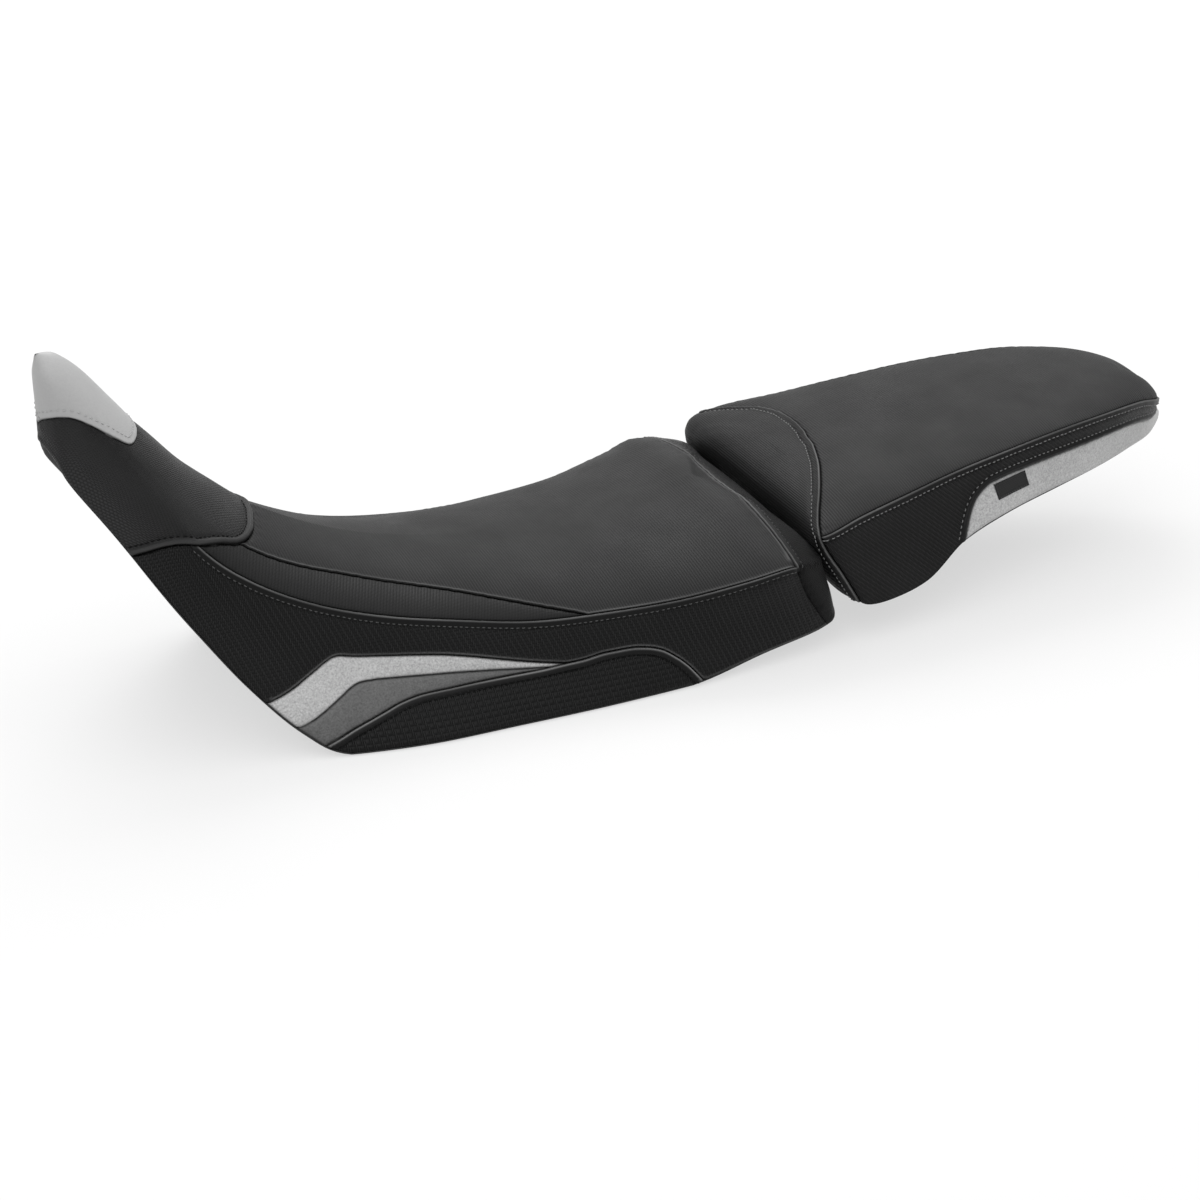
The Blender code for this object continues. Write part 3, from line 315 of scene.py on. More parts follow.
class SeatSizes(bpy.types.PropertyGroup):
    """Sizes of the covers and the sewing."""

    cover: size("Cover thickness", 0.0016, "Thickness of the vinyl covers")
    crown: size("Panel crown", 0.0022, "How far a panel swells between its seams")
    swell: size("Crown reach", 0.016, "Distance from a seam over which a panel swells")
    pucker: size("Pucker", 0.00018, "Height of the small folds along a stitched seam")
    stitch: size("Stitch length", 0.0032, "Length of one stitch")
    stitch_step: size("Stitch step", 0.0046, "Distance from stitch to stitch")
    thread: size("Thread", 0.001, "Thickness of the thread")
    twill: size("Twill cell", 0.0016, "Width of one cell of the embossed twill")
    rib: size("Rib pitch", 0.0026, "Distance between the ribs of the side band")
    hem: size("Hem strip", 0.001, "Thickness of the cover where it is turned in under the pan")
    staple: size("Staple width", 0.011, "Width of the staples that hold the hem")
    staple_step: size("Staple step", 0.024, "Distance from staple to staple")


class SeatColours(bpy.types.PropertyGroup):
    """Colours of the covers, pans and fittings."""

    black: colour("Black vinyl", (0.0092, 0.0092, 0.0093), "Embossed sides, nose and kick panels")
    top: colour("Top vinyl", (0.0102, 0.0102, 0.0103), "Top panels")
    cap: colour("Light grey vinyl", (0.305, 0.305, 0.305), "Panel at the tip of the nose")
    silver: colour("Silver vinyl", (0.345, 0.345, 0.345), "Silver flashes and tail panels")
    grey: colour("Grey vinyl", (0.068, 0.068, 0.068), "Lower flashes")
    thread: colour("Thread", (0.055, 0.055, 0.055), "Thread of the visible seams")
    dark_thread: colour("Dark thread", (0.002, 0.002, 0.002), "Thread of the kick panels and the nose")
    foam: colour("Foam", (0.036, 0.036, 0.038), "Moulded foam")
    pan: colour("Pan plastic", (0.011, 0.011, 0.0115), "Moulded base pans")
    rubber: colour("Rubber", (0.007, 0.007, 0.007), "Bumpers under the pans")
    steel: colour("Plated steel", (0.42, 0.43, 0.44), "Hooks, striker and staples")
    tag: colour("Tag", (0.004, 0.004, 0.0042), "Woven tag")


class SeatStudio(bpy.types.PropertyGroup):
    """Floor and light of the studio."""

    floor: colour("Floor", (0.58, 0.58, 0.58), "Colour of the floor")
    paper: factor("Paper white", 0.6, "How far the floor reads as white paper to the camera")
    ambient: factor("Ambient", 0.75, "Strength of the light from all round")
    key: power("Key light", 180.0, "Power of the large lamp above")
    front: power("Front light", 12.0, "Power of the lamp by the camera")
    rim: power("Rim light", 48.0, "Power of the lamp behind")


def monotone(points, at):
    """Smooth curve through rising points that never swings past them."""
    xs = np.array([p[0] for p in points], float)
    ys = np.array([p[1] for p in points], float)
    slope = np.diff(ys) / np.diff(xs)
    tangent = np.zeros(len(xs))
    tangent[0], tangent[-1] = slope[0], slope[-1]
    inner = slope[:-1] * slope[1:] > 0
    tangent[1:-1][inner] = 2.0 / (1.0 / slope[:-1][inner] + 1.0 / slope[1:][inner])
    at = np.clip(np.asarray(at, float), xs[0], xs[-1])
    k = np.clip(np.searchsorted(xs, at, side="right") - 1, 0, len(xs) - 2)
    width = xs[k + 1] - xs[k]
    u = (at - xs[k]) / width
    value = ys[k] * (1 + 2 * u) * (1 - u) ** 2 + ys[k + 1] * u * u * (3 - 2 * u)
    return value + width * (tangent[k] * u * (1 - u) ** 2 - tangent[k + 1] * u * u * (1 - u))


def ease(value):
    """Slow start and slow end between 0 and 1."""
    value = np.clip(value, 0, 1)
    return value ** 2 * (3 - 2 * value)


def seam_station(seam, share):
    """Station of a seam that crosses the section, at a share of the section."""
    return monotone([(r, s) for s, r in seam], share)


class Cushion:
    """Outer surface of a cushion, named by the station round its side and the share of its section.

    A share under 0 is on the bike's left side, and stations past either end carry on round the other side.
    """

    def __init__(self, stations, core_span, foam_depth, draw, body, weave, softness=None, base=None):
        self.crown = np.array([(x, 0.0, z) for (x, z), _, _ in stations], float)
        self.shoulder = np.array([point for _, point, _ in stations], float)
        self.hem = np.array([point for _, _, point in stations], float)
        self.last = len(stations) - 1
        self.core_span = core_span
        self.foam_depth = foam_depth
        self.draw = draw
        self.body = body
        self.weave = weave
        self.softness = softness
        self.base = base or self

    def rail(self, points, station):
        """Catmull-Rom curve through a row of points, mirrored past both centre lines."""
        station = np.asarray(station, float)
        flip = (station < 0) | (station > self.last)
        station = np.abs(station)
        station = np.where(station > self.last, 2 * self.last - station, station)
        row = np.vstack([points[1] * (1, -1, 1), points, points[-2] * (1, -1, 1)])
        k = np.clip(np.floor(station).astype(int), 0, self.last - 1)
        u = (station - k)[..., None]
        p0, p1, p2, p3 = row[k], row[k + 1], row[k + 2], row[k + 3]
        curve = 0.5 * (2 * p1 + (p2 - p0) * u + (2 * p0 - 5 * p1 + 4 * p2 - p3) * u ** 2
                       + (3 * p1 - p0 - 3 * p2 + p3) * u ** 3)
        curve[..., 1] = np.where(flip, -curve[..., 1], curve[..., 1])
        curve[..., 2] = np.maximum(curve[..., 2], points[:, 2].min())
        return curve

    def core(self, station):
        """Point on the centre plane that the section is drawn towards."""
        crown = self.rail(self.crown, station)
        hem = self.rail(self.hem, station)
        core = np.zeros_like(crown)
        core[..., 0] = np.clip((crown[..., 0] + hem[..., 0]) / 2, *self.core_span)
        core[..., 2] = hem[..., 2] + CORE_LIFT
        return core

    def surface(self, station, share):
        """Outer surface at stations and shares of the section."""
        station, share = np.broadcast_arrays(np.asarray(station, float), np.asarray(share, float))
        flip = share < 0
        share = np.minimum(np.abs(share), 1.0)
        crown = self.rail(self.crown, station)
        shoulder = self.rail(self.shoulder, station)
        hem = self.rail(self.hem, station)
        on_top = (share <= SHOULDER)[..., None]
        q = np.where(share <= SHOULDER, share / SHOULDER, (share - SHOULDER) / (1 - SHOULDER))[..., None]
        start = np.where(on_top, crown, shoulder)
        end = np.where(on_top, shoulder, hem)
        span = end - start
        folded = np.minimum(np.abs(station), 2 * self.last - station)
        fall = np.zeros_like(span) if self.base is self else np.clip((folded - self.last + 2) / 2, 0, 1)[..., None]
        leave = np.where(on_top, span * TOP_LEAVE + span * fall * (0.0, 0.0, 1.0), span * SIDE_LEAVE)
        arrive = np.where(on_top, span * TOP_ARRIVE, span * SIDE_ARRIVE)
        point = (start * (1 + 2 * q) * (1 - q) ** 2 + end * q ** 2 * (3 - 2 * q)
                 + leave * q * (1 - q) ** 2 - arrive * q ** 2 * (1 - q))
        outward = (shoulder - self.core(station)) * (1, 1, 0)
        outward /= np.maximum(np.linalg.norm(outward, axis=-1, keepdims=True), 1e-9)
        rear = np.clip((folded - REAR_SWELL_FROM) / REAR_SWELL_FADE, 0, 1)
        draw = self.draw * (np.clip(folded / DRAW_FADE, 0, 1) - REAR_SWELL * rear)[..., None]
        point = point - np.where(on_top, 0.0, draw * np.sin(math.pi * q) ** 2) * outward
        point[..., 1] = np.where(flip, -point[..., 1], point[..., 1])
        return point

    def cover(self, station, share):
        """Outer surface with its shoulder rounded over where the cushion is soft."""
        if self.softness is None:
            return self.surface(station, share)
        station, share = np.broadcast_arrays(np.asarray(station, float), np.asarray(share, float))
        share = np.where(station > self.last, -share, share)
        station = np.minimum(station, 2 * self.last - station)
        width = self.softness(station, share)
        weights = (1, 3, 5, 6, 5, 3, 1)
        spread = np.linspace(-1, 1, len(weights))
        parts = [w * self.surface(station, np.clip(share + k * width, -1, 1)) for w, k in zip(weights, spread)]
        return sum(parts) / sum(weights)

    def normal(self, station, share):
        """Outward direction of the surface, even across the shoulder seam."""
        station, share = np.broadcast_arrays(np.asarray(station, float), np.asarray(share, float))
        middle = (station > 0) & (station < self.last) | (np.abs(share) > 1e-6)
        station = np.where(middle, station, np.where(station > 0, self.last - END_STATION, END_STATION))
        share = np.where(middle, share, END_SHARE)
        # Near the crown's end the sections leave along the crown, so the direction is taken a little further out
        folded = np.minimum(np.abs(station), 2 * self.last - station)
        reach = END_REACH * np.clip(folded - self.last + 3, 0, 1)
        tilt = np.minimum(np.abs(share) / np.maximum(reach, 1e-9), 1.0)
        share = np.where(np.abs(share) < reach, np.where(share < 0, -reach, reach), share)
        along = self.surface(station + STATION_STEP, share) - self.surface(station - STATION_STEP, share)
        low = np.maximum(share - SHARE_STEP, np.where(share < 0, -1.0, 0.0))
        high = np.minimum(share + SHARE_STEP, np.where(share < 0, 0.0, 1.0))
        down = self.surface(station, high) - self.surface(station, low)
        normal = np.cross(along, down)
        normal /= np.maximum(np.linalg.norm(normal, axis=-1, keepdims=True), 1e-9)
        away = np.sum(normal * (self.surface(station, share) - self.core(station)), axis=-1, keepdims=True)
        normal *= np.where(away < 0, -1.0, 1.0)
        normal[..., 1] = np.where(middle, normal[..., 1] * tilt, 0.0)
        return normal / np.linalg.norm(normal, axis=-1, keepdims=True)

    def below(self, station, share, depth):
        """Cover set inward by a depth along its normal."""
        return self.cover(station, share) - depth * self.normal(station, share)

    def pan(self, station, share, inset):
        """Upper face of the base pan, set inward by a further inset."""
        point = self.surface(station, share)
        share = np.abs(share)
        to_core = self.core(station) - point
        reach = np.linalg.norm(to_core, axis=-1)
        spread = np.linspace(0, self.last, len(self.foam_depth))
        depth = monotone(list(zip(spread, self.foam_depth)), station)
        deep = depth / np.linalg.norm(self.core(station) - self.surface(station, 0.0), axis=-1)
        top = deep + (SHOULDER_FOAM_SHARE - deep) * np.clip(share / SHOULDER, 0, 1) ** 2
        side = SHOULDER_FOAM_SHARE + (HEM_FOAM_SHARE - SHOULDER_FOAM_SHARE) * np.clip(
            (share - SHOULDER) / (1 - SHOULDER), 0, 1)
        part = np.where(share <= SHOULDER, top, side) + inset / reach
        return point + part[..., None] * to_core


def nose_softness(station, share):
    """Share over which the shoulder of the nose is rounded, fading towards its seam, its hem and its tip."""
    low = np.abs(share)
    reach = (seam_station(NOSE_SEAM, low) - station) / NOSE_SEAM_FADE
    return NOSE_SOFT * ease(reach) * ease(station / NOSE_TIP_FADE) * ease((1 - low) / NOSE_HEM_FADE)


def front_panel_edge(share):
    """Station of the front panel's seam, whose right half sits a little further back as photographed."""
    left, right = (seam_station(seam, np.abs(share)) for seam in (FRONT_PANEL_SEAM, FRONT_PANEL_SEAM_RIGHT))
    return np.where(share < 0, left, right)


def front_softness(station, share):
    """Share over which the front edge of the passenger seat is rounded, fading towards its seam and its hem."""
    reach = (front_panel_edge(share) - station) / FRONT_SEAM_FADE
    return FRONT_SOFT * ease(reach) * ease((1 - np.abs(share)) / FRONT_HEM_FADE)


RIDER_SHAPE = ((42.0, 528.0), (12.0, 14.0, 26.0, 40.0, 42.0, 40.0), 3.5, "rider_seat", (0.3, 0.45))
RIDER_PAN = Cushion([RIDER_PAN_STATIONS.get(k, drawn) for k, drawn in enumerate(RIDER_STATIONS)], *RIDER_SHAPE)
RIDER = Cushion(RIDER_STATIONS, *RIDER_SHAPE, nose_softness, RIDER_PAN)
PASSENGER_SHAPE = ((657.0, 905.0), (34.0, 36.0, 32.0, 24.0), 2.0, "passenger_seat", (0.2, 1.2))
PASSENGER_PAN = Cushion([PASSENGER_PAN_STATIONS.get(k, drawn) for k, drawn in enumerate(PASSENGER_STATIONS)],
                        *PASSENGER_SHAPE)
PASSENGER = Cushion(PASSENGER_STATIONS, *PASSENGER_SHAPE, front_softness, PASSENGER_PAN)
NOSE_TIP = RIDER_PAN.surface(0.0, np.linspace(0, 1, 200))
PLACE = np.array((CAD_BOX[0][0] / MM - NOSE_TIP[:, 0].min(), 0.0, CAD_BOX[1][2] / MM - NOSE_TIP[:, 2].max()))


def in_frame(points):
    """Points of the drawing carried into the frame, in metres."""
    return (np.asarray(points, float) + PLACE) * MM


class Value:
    """Number worked out by the nodes of a finish, so that a pattern reads as a sum."""

    def __init__(self, finish, socket):
        self.finish = finish
        self.socket = socket

    def __add__(self, other):
        return self.finish.math("ADD", self, other)

    def __sub__(self, other):
        return self.finish.math("SUBTRACT", self, other)

    def __rsub__(self, other):
        return self.finish.math("SUBTRACT", other, self)

    def __mul__(self, other):
        return self.finish.math("MULTIPLY", self, other)

    def __truediv__(self, other):
        return self.finish.math("DIVIDE", self, other)


class Finish:
    """Small builder of a node material on one Principled shader."""

    def __init__(self, name, base, roughness, metallic=0.0):
        self.material = bpy.data.materials.new(name)
        self.material.use_nodes = True
        self.nodes = self.material.node_tree.nodes
        self.links = self.material.node_tree.links
        self.shader = self.nodes["Principled BSDF"]
        self.base = base
        self.set("Base Color", (*base, 1.0))
        self.set("Roughness", roughness)
        self.set("Metallic", metallic)

    def set(self, name, value):
        """Value of one socket of the shader."""
        self.join(self.shader.inputs[name], value)

    def node(self, kind, **values):
        made = self.nodes.new(kind)
        for key, value in values.items():
            setattr(made, key, value)
        return made

    def join(self, socket, value):
        if isinstance(value, Value):
            value = value.socket
        if isinstance(value, bpy.types.NodeSocket):
            self.links.new(value, socket)
        else:
            socket.default_value = value

    def fed(self, kind, values, output=0, **settings):
        """Value of a new node, with its inputs given by name or in order."""
        made = self.node(kind, **settings)
        named = values.items() if isinstance(values, dict) else enumerate(values)
        for key, value in named:
            self.join(made.inputs[key], value)
        return Value(self, made.outputs[output])

    def math(self, operation, *values):
        return self.fed("ShaderNodeMath", values, operation=operation)

    def fract(self, value):
        return self.math("FRACT", value)

    def floor(self, value):
        return self.math("FLOOR", value)

    def sine(self, value):
        return self.math("SINE", value)

    def remap(self, value, low, high, to_low, to_high):
        return self.fed("ShaderNodeMapRange", (value, low, high, to_low, to_high))

    def blend(self, amount, one, two):
        """Base colour between two colours."""
        self.set("Base Color", self.fed("ShaderNodeMix", {"Factor": amount, "A": one, "B": two}, "Result",
                                        data_type="RGBA"))

    def tinted(self, value, dark, light):
        """Base colour scaled between two levels by a value from 0 to 1."""
        self.blend(value, *((*(min(1.0, c * level) for c in self.base), 1.0) for level in (dark, light)))

    def sewn(self, value, dark, light):
        """Base colour by a value from 0 to 1, even on welts, with a painted highlight on lips, painted shade in
        grooves and some welts darkened.

        Gives back the share of the cloth that is not on a welt.
        """
        lip, welt, groove = (self.fed("ShaderNodeAttribute", (), "Fac", attribute_name=name)
                             for name in ("lip", "welt", "groove"))
        open_cloth = 1.0 - welt
        self.tinted(value * open_cloth + welt * 0.3, dark, light)
        # Painted highlight on the lips and painted shade in the grooves, the groove layer also darkening some welts
        for amount, shade in ((lip, LIP_HIGHLIGHT_COLOUR), (groove, GROOVE_SHADE_AND_WELT_COLOUR)):
            self.blend(amount, self.shader.inputs["Base Color"].links[0].from_socket, shade)
        return open_cloth

    def bump(self, height, distance, strength=1.0):
        """Fine relief, on top of any that the shader already has."""
        socket = self.shader.inputs["Normal"]
        values = {"Strength": strength, "Distance": distance, "Height": height}
        if socket.is_linked:
            values["Normal"] = socket.links[0].from_socket
        self.join(socket, self.fed("ShaderNodeBump", values, "Normal"))

    def cloth(self):
        """Lengths along and across a panel, in metres."""
        parts = self.node("ShaderNodeSeparateXYZ")
        self.join(parts.inputs[0], self.fed("ShaderNodeUVMap", (), "UV", uv_map="cloth"))
        return Value(self, parts.outputs[0]), Value(self, parts.outputs[1])

    def dash(self, side, along):
        """Rounded top of a float, two cells long and one wide."""
        length = self.math("MAXIMUM", self.sine(along * (math.pi / 2)), 0.0)
        return self.sine(side * math.pi) * self.math("POWER", length, 0.6)

    def place(self):
        return self.node("ShaderNodeTexCoord").outputs["Object"]

    def noise(self, scale, detail=3.0, roughness=0.5):
        values = {"Vector": self.place(), "Scale": scale, "Detail": detail, "Roughness": roughness}
        return self.fed("ShaderNodeTexNoise", values, "Fac")

    def cells(self, scale):
        return self.fed("ShaderNodeTexVoronoi", {"Vector": self.place(), "Scale": scale}, "Distance")

    def worn(self, wear, roughness, less, more):
        """Roughness that wanders about its level."""
        self.set("Roughness", self.remap(wear, 0.3, 0.7, roughness - less, roughness + more))


def embossed(finish, height, depth, roughness, more, wear_scale, grain_scale, grain):
    """Relief, gloss and fine grain of an embossed vinyl."""
    finish.worn(finish.noise(wear_scale), roughness, 0.05, more)
    finish.bump(height, depth)
    finish.bump(finish.noise(grain_scale), grain, 0.6)
    finish.set("Specular IOR Level", VINYL_GLOSS)
    return finish.material


def twill_vinyl(name, base, cell, roughness, depth, relief_shading):
    """Vinyl embossed with a two-over-two twill, each float a rounded dash."""
    finish = Finish(name, base, roughness)
    along, across = finish.cloth()
    warp, weft = along / cell, across / cell
    down = finish.fract((finish.floor(warp) - weft) / 4.0) * 4.0
    level = finish.fract((warp - finish.floor(weft)) / 4.0) * 4.0
    over = finish.math("LESS_THAN", finish.math("ABSOLUTE", down - 2.0), 1.0)
    raised = finish.dash(finish.fract(warp), down - 1.0) * over
    sunk = finish.dash(finish.fract(weft), level) * (1.0 - over)
    # Painted highlight and shade: the colour follows the relief, lighter on raised floats and darker on sunk ones
    open_cloth = finish.sewn(raised + sunk * 0.3, 1.0 - relief_shading, 1.0 + relief_shading)
    return embossed(finish, (raised + sunk * 0.55) * open_cloth, depth, roughness, 0.06, 28.0, 2600.0, 0.00006)


def dashed_vinyl(name, base, length, width, roughness, depth, relief_shading):
    """Vinyl embossed with rows of short dashes, every other row shifted by half a dash."""
    finish = Finish(name, base, roughness)
    along, across = finish.cloth()
    row = (across * 0.85 + along * 0.5) / width
    place = finish.fract((along * 0.85 - across * 0.5) / length + finish.floor(row) * 0.5)
    height = finish.dash(finish.fract(row), place * 2.0)
    # Painted highlight and shade: the colour follows the relief, lighter on the raised dashes and darker between them
    open_cloth = finish.sewn(height, 1.0 - relief_shading, 1.0 + relief_shading)
    return embossed(finish, height * open_cloth, depth, roughness, 0.06, 28.0, 2600.0, 0.00006)


def ribbed_vinyl(name, base, pitch, roughness, depth, relief_shading):
    """Vinyl with fine ribs that run across the panel."""
    finish = Finish(name, base, roughness)
    along, across = finish.cloth()
    rib = finish.sine(finish.fract(along / pitch) * math.pi)
    bead = finish.sine(finish.fract(across / (pitch * 0.5)) * math.pi)
    height = rib * 0.8 + bead * 0.2
    # Painted highlight and shade: the colour follows the relief, lighter on the rib crests and darker in between
    finish.sewn(height, 1.0 - relief_shading, 1.0 + relief_shading)
    return embossed(finish, height, depth, roughness, 0.05, 24.0, 2400.0, 0.00005)


def grained_vinyl(name, base, roughness, fleck_size, spread):
    """Smooth vinyl with a leather grain and a fine fleck."""
    finish = Finish(name, base, roughness)
    fleck = finish.noise(1.0 / fleck_size, 4.0, 0.65)
    shade = fleck * 0.8 + finish.noise(16.0, 2.0) * 0.2
    finish.sewn(finish.remap(shade, 0.36, 0.64, 0.0, 1.0), 1.0 - spread, 1.0 + spread)
    finish.worn(fleck, roughness, 0.08, 0.08)
    finish.bump(finish.cells(900.0), 0.00016, 0.7)
    finish.bump(fleck, 0.00005, 0.6)
    return finish.material


def moulded(name, base, roughness, grain, depth, metallic=0.0):
    """Moulded or plated surface with a fine grain and uneven gloss."""
    finish = Finish(name, base, roughness, metallic)
    wear = finish.noise(18.0, 4.0)
    finish.tinted(finish.remap(wear, 0.35, 0.65, 0.0, 1.0), 0.86, 1.14)
    finish.worn(wear, roughness, 0.07, 0.07)
    finish.bump(finish.noise(grain), depth)
    return finish.material


def woven(name, base, cell):
    """Plain woven ribbon."""
    finish = Finish(name, base, 0.85)
    warp, weft = (finish.sine(way / cell * math.pi) for way in finish.cloth())
    height = warp * weft * 0.5 + 0.5
    # Painted highlight and shade: the colour follows the weave's relief, lighter on the raised crossings
    finish.tinted(height, 0.7, 1.4)
    finish.bump(height, 0.0002)
    return finish.material


def twisted_thread(name, base):
    """Sewing thread."""
    finish = Finish(name, base, 0.5)
    finish.tinted(finish.noise(1800.0, 2.0), 0.75, 1.25)
    finish.set("Specular IOR Level", 0.1)
    finish.bump(finish.noise(2600.0, 2.0), 0.0001)
    return finish.material


def make_finishes(sizes, colours):
    """All finishes of the seat, by the record's slot or by their own name."""
    cell, rib = sizes.twill, sizes.rib
    dark = [c * 0.62 for c in colours.black]
    nose = [c * 1.6 for c in colours.black]
    band = [c * 0.58 for c in colours.top]
    return {
        "black_vinyl": twill_vinyl("black_twill_vinyl", colours.black, cell * 0.75, 0.42, 0.0006, 1.0),
        "nose_vinyl": dashed_vinyl("nose_dashed_vinyl", nose, cell * 2.0, cell * 1.4, 0.45, 0.0004, 0.5),
        "kick_vinyl": twill_vinyl("kick_twill_vinyl", dark, cell * 1.05, 0.42, 0.0008, 0.95),
        "top_vinyl": ribbed_vinyl("top_ribbed_vinyl", colours.top, rib * 0.9, 0.55, 0.0003, 0.8),
        "band_vinyl": ribbed_vinyl("band_ribbed_vinyl", band, rib, 0.52, 0.00022, 0.25),
        "light_grey_vinyl": grained_vinyl("light_grey_vinyl_grain", colours.cap, 0.5, 0.002, 0.03),
        "silver_vinyl": grained_vinyl("silver_vinyl_grain", colours.silver, 0.45, 0.0016, 0.3),
        "grey_vinyl": grained_vinyl("grey_vinyl_grain", colours.grey, 0.48, 0.0016, 0.36),
        "thread": twisted_thread("seam_thread", colours.thread),
        "bright_thread": twisted_thread("bright_seam_thread", [min(1.0, 2.6 * c) for c in colours.thread]),
        "dark_thread": twisted_thread("dark_seam_thread", colours.dark_thread),
        "cap_thread": twisted_thread("cap_thread", colours.cap),
        "pan_cloth": moulded("hem_back", colours.black, 0.7, 1400.0, 0.0001),
        "foam": moulded("moulded_foam", colours.foam, 0.92, 900.0, 0.0004),
        "pan_plastic": moulded("pan_moulding", colours.pan, 0.5, 1600.0, 0.00012),
        "rubber": moulded("bumper_rubber", colours.rubber, 0.75, 1200.0, 0.00012),
        "zinc_steel": moulded("plated_steel", colours.steel, 0.34, 700.0, 0.00003, 1.0),
        "tag_fabric": woven("tag_weave", colours.tag, 0.0011),
    }


FINISHES = {}


def finish_of(name):
    """Finishes are made once, by the first operator that needs one."""
    scene = bpy.context.scene
    if not FINISHES:
        FINISHES.update(make_finishes(scene.seat_sizes, scene.seat_colours))
    return FINISHES[name]


def ladder(lengths, first, last, step):
    """Distances along lines of the given lengths, closer together beside their sewn ends."""
    head = FINE if first else FINE[:1]
    tail = FINE if last else FINE[:1]
    middle = max(3, int(round(lengths.max() / step)))
    inner = np.linspace(0, 1, middle + 1)[1:-1]
    shrink = np.minimum(1.0, 0.4 * lengths / FINE[-1])[:, None]
    start = head[None, :] * shrink
    end = lengths[:, None] - tail[None, ::-1] * shrink
    between = start[:, -1:] + (end[:, :1] - start[:, -1:]) * inner[None, :]
    return np.concatenate([start, between, end], axis=1)


def run_of(points):
    """Running length along a row of points, over the first axis."""
    steps = np.linalg.norm(np.diff(points, axis=0), axis=-1)
    return np.concatenate([np.zeros((1,) + steps.shape[1:]), np.cumsum(steps, axis=0)])


def even_points(points, step):
    """Points at even steps along a line."""
    run = run_of(points)
    count = max(2, int(round(run[-1] / step)) + 1)
    at = np.linspace(0, run[-1], count)
    return np.stack([np.interp(at, run, points[:, k]) for k in range(3)], axis=1)


def tree_of(points):
    """Search tree of a row of points."""
    tree = KDTree(len(points))
    for i, point in enumerate(points):
        tree.insert(point, i)
    tree.balance()
    return tree


def heading(points, i):
    """Direction of a row of points at one of them."""
    return Vector(points[min(i + 1, len(points) - 1)] - points[max(i - 1, 0)]).normalized()


def slack(x, y, z):
    """Slow, shallow unevenness of a stretched cover."""
    return 0.35 * np.sin(x / 41 + 0.7) * np.sin(y / 33 + z / 37) + 0.16 * np.sin(x / 17 + y / 21 + z / 19)


def add_quads(shape, lines, closed=False, places=None):
    """Smooth faces between rows of corners, closed round the columns where asked, with their places on the cloth."""
    count = len(lines[0])
    cloth = shape.loops.layers.uv.get("cloth")
    for i in range(len(lines) - 1):
        for j in range(count if closed else count - 1):
            ahead = (j + 1) % count
            ring = [(i, j), (i, ahead), (i + 1, ahead), (i + 1, j)]
            face = shape.faces.new([lines[a][b] for a, b in ring])
            face.smooth = True
            if places is not None:
                for loop, (a, b) in zip(face.loops, ring):
                    loop[cloth].uv = places[a, b]


def face_out(shape, index, normal):
    """Faces turned so that the one at an index looks along a normal."""
    shape.faces.ensure_lookup_table()
    shape.normal_update()
    if shape.faces[index].normal.dot(Vector(normal)) < 0:
        bmesh.ops.reverse_faces(shape, faces=shape.faces[:])


def weld(shape, near, thin):
    """Corners that lie together made one, and faces without area taken out."""
    bmesh.ops.remove_doubles(shape, verts=shape.verts[:], dist=near)
    bmesh.ops.dissolve_degenerate(shape, edges=shape.edges[:], dist=thin)


def thicken(piece, name, thickness, offset=-1.0):
    thick = piece.modifiers.new(name, "SOLIDIFY")
    thick.thickness = thickness
    thick.offset = offset


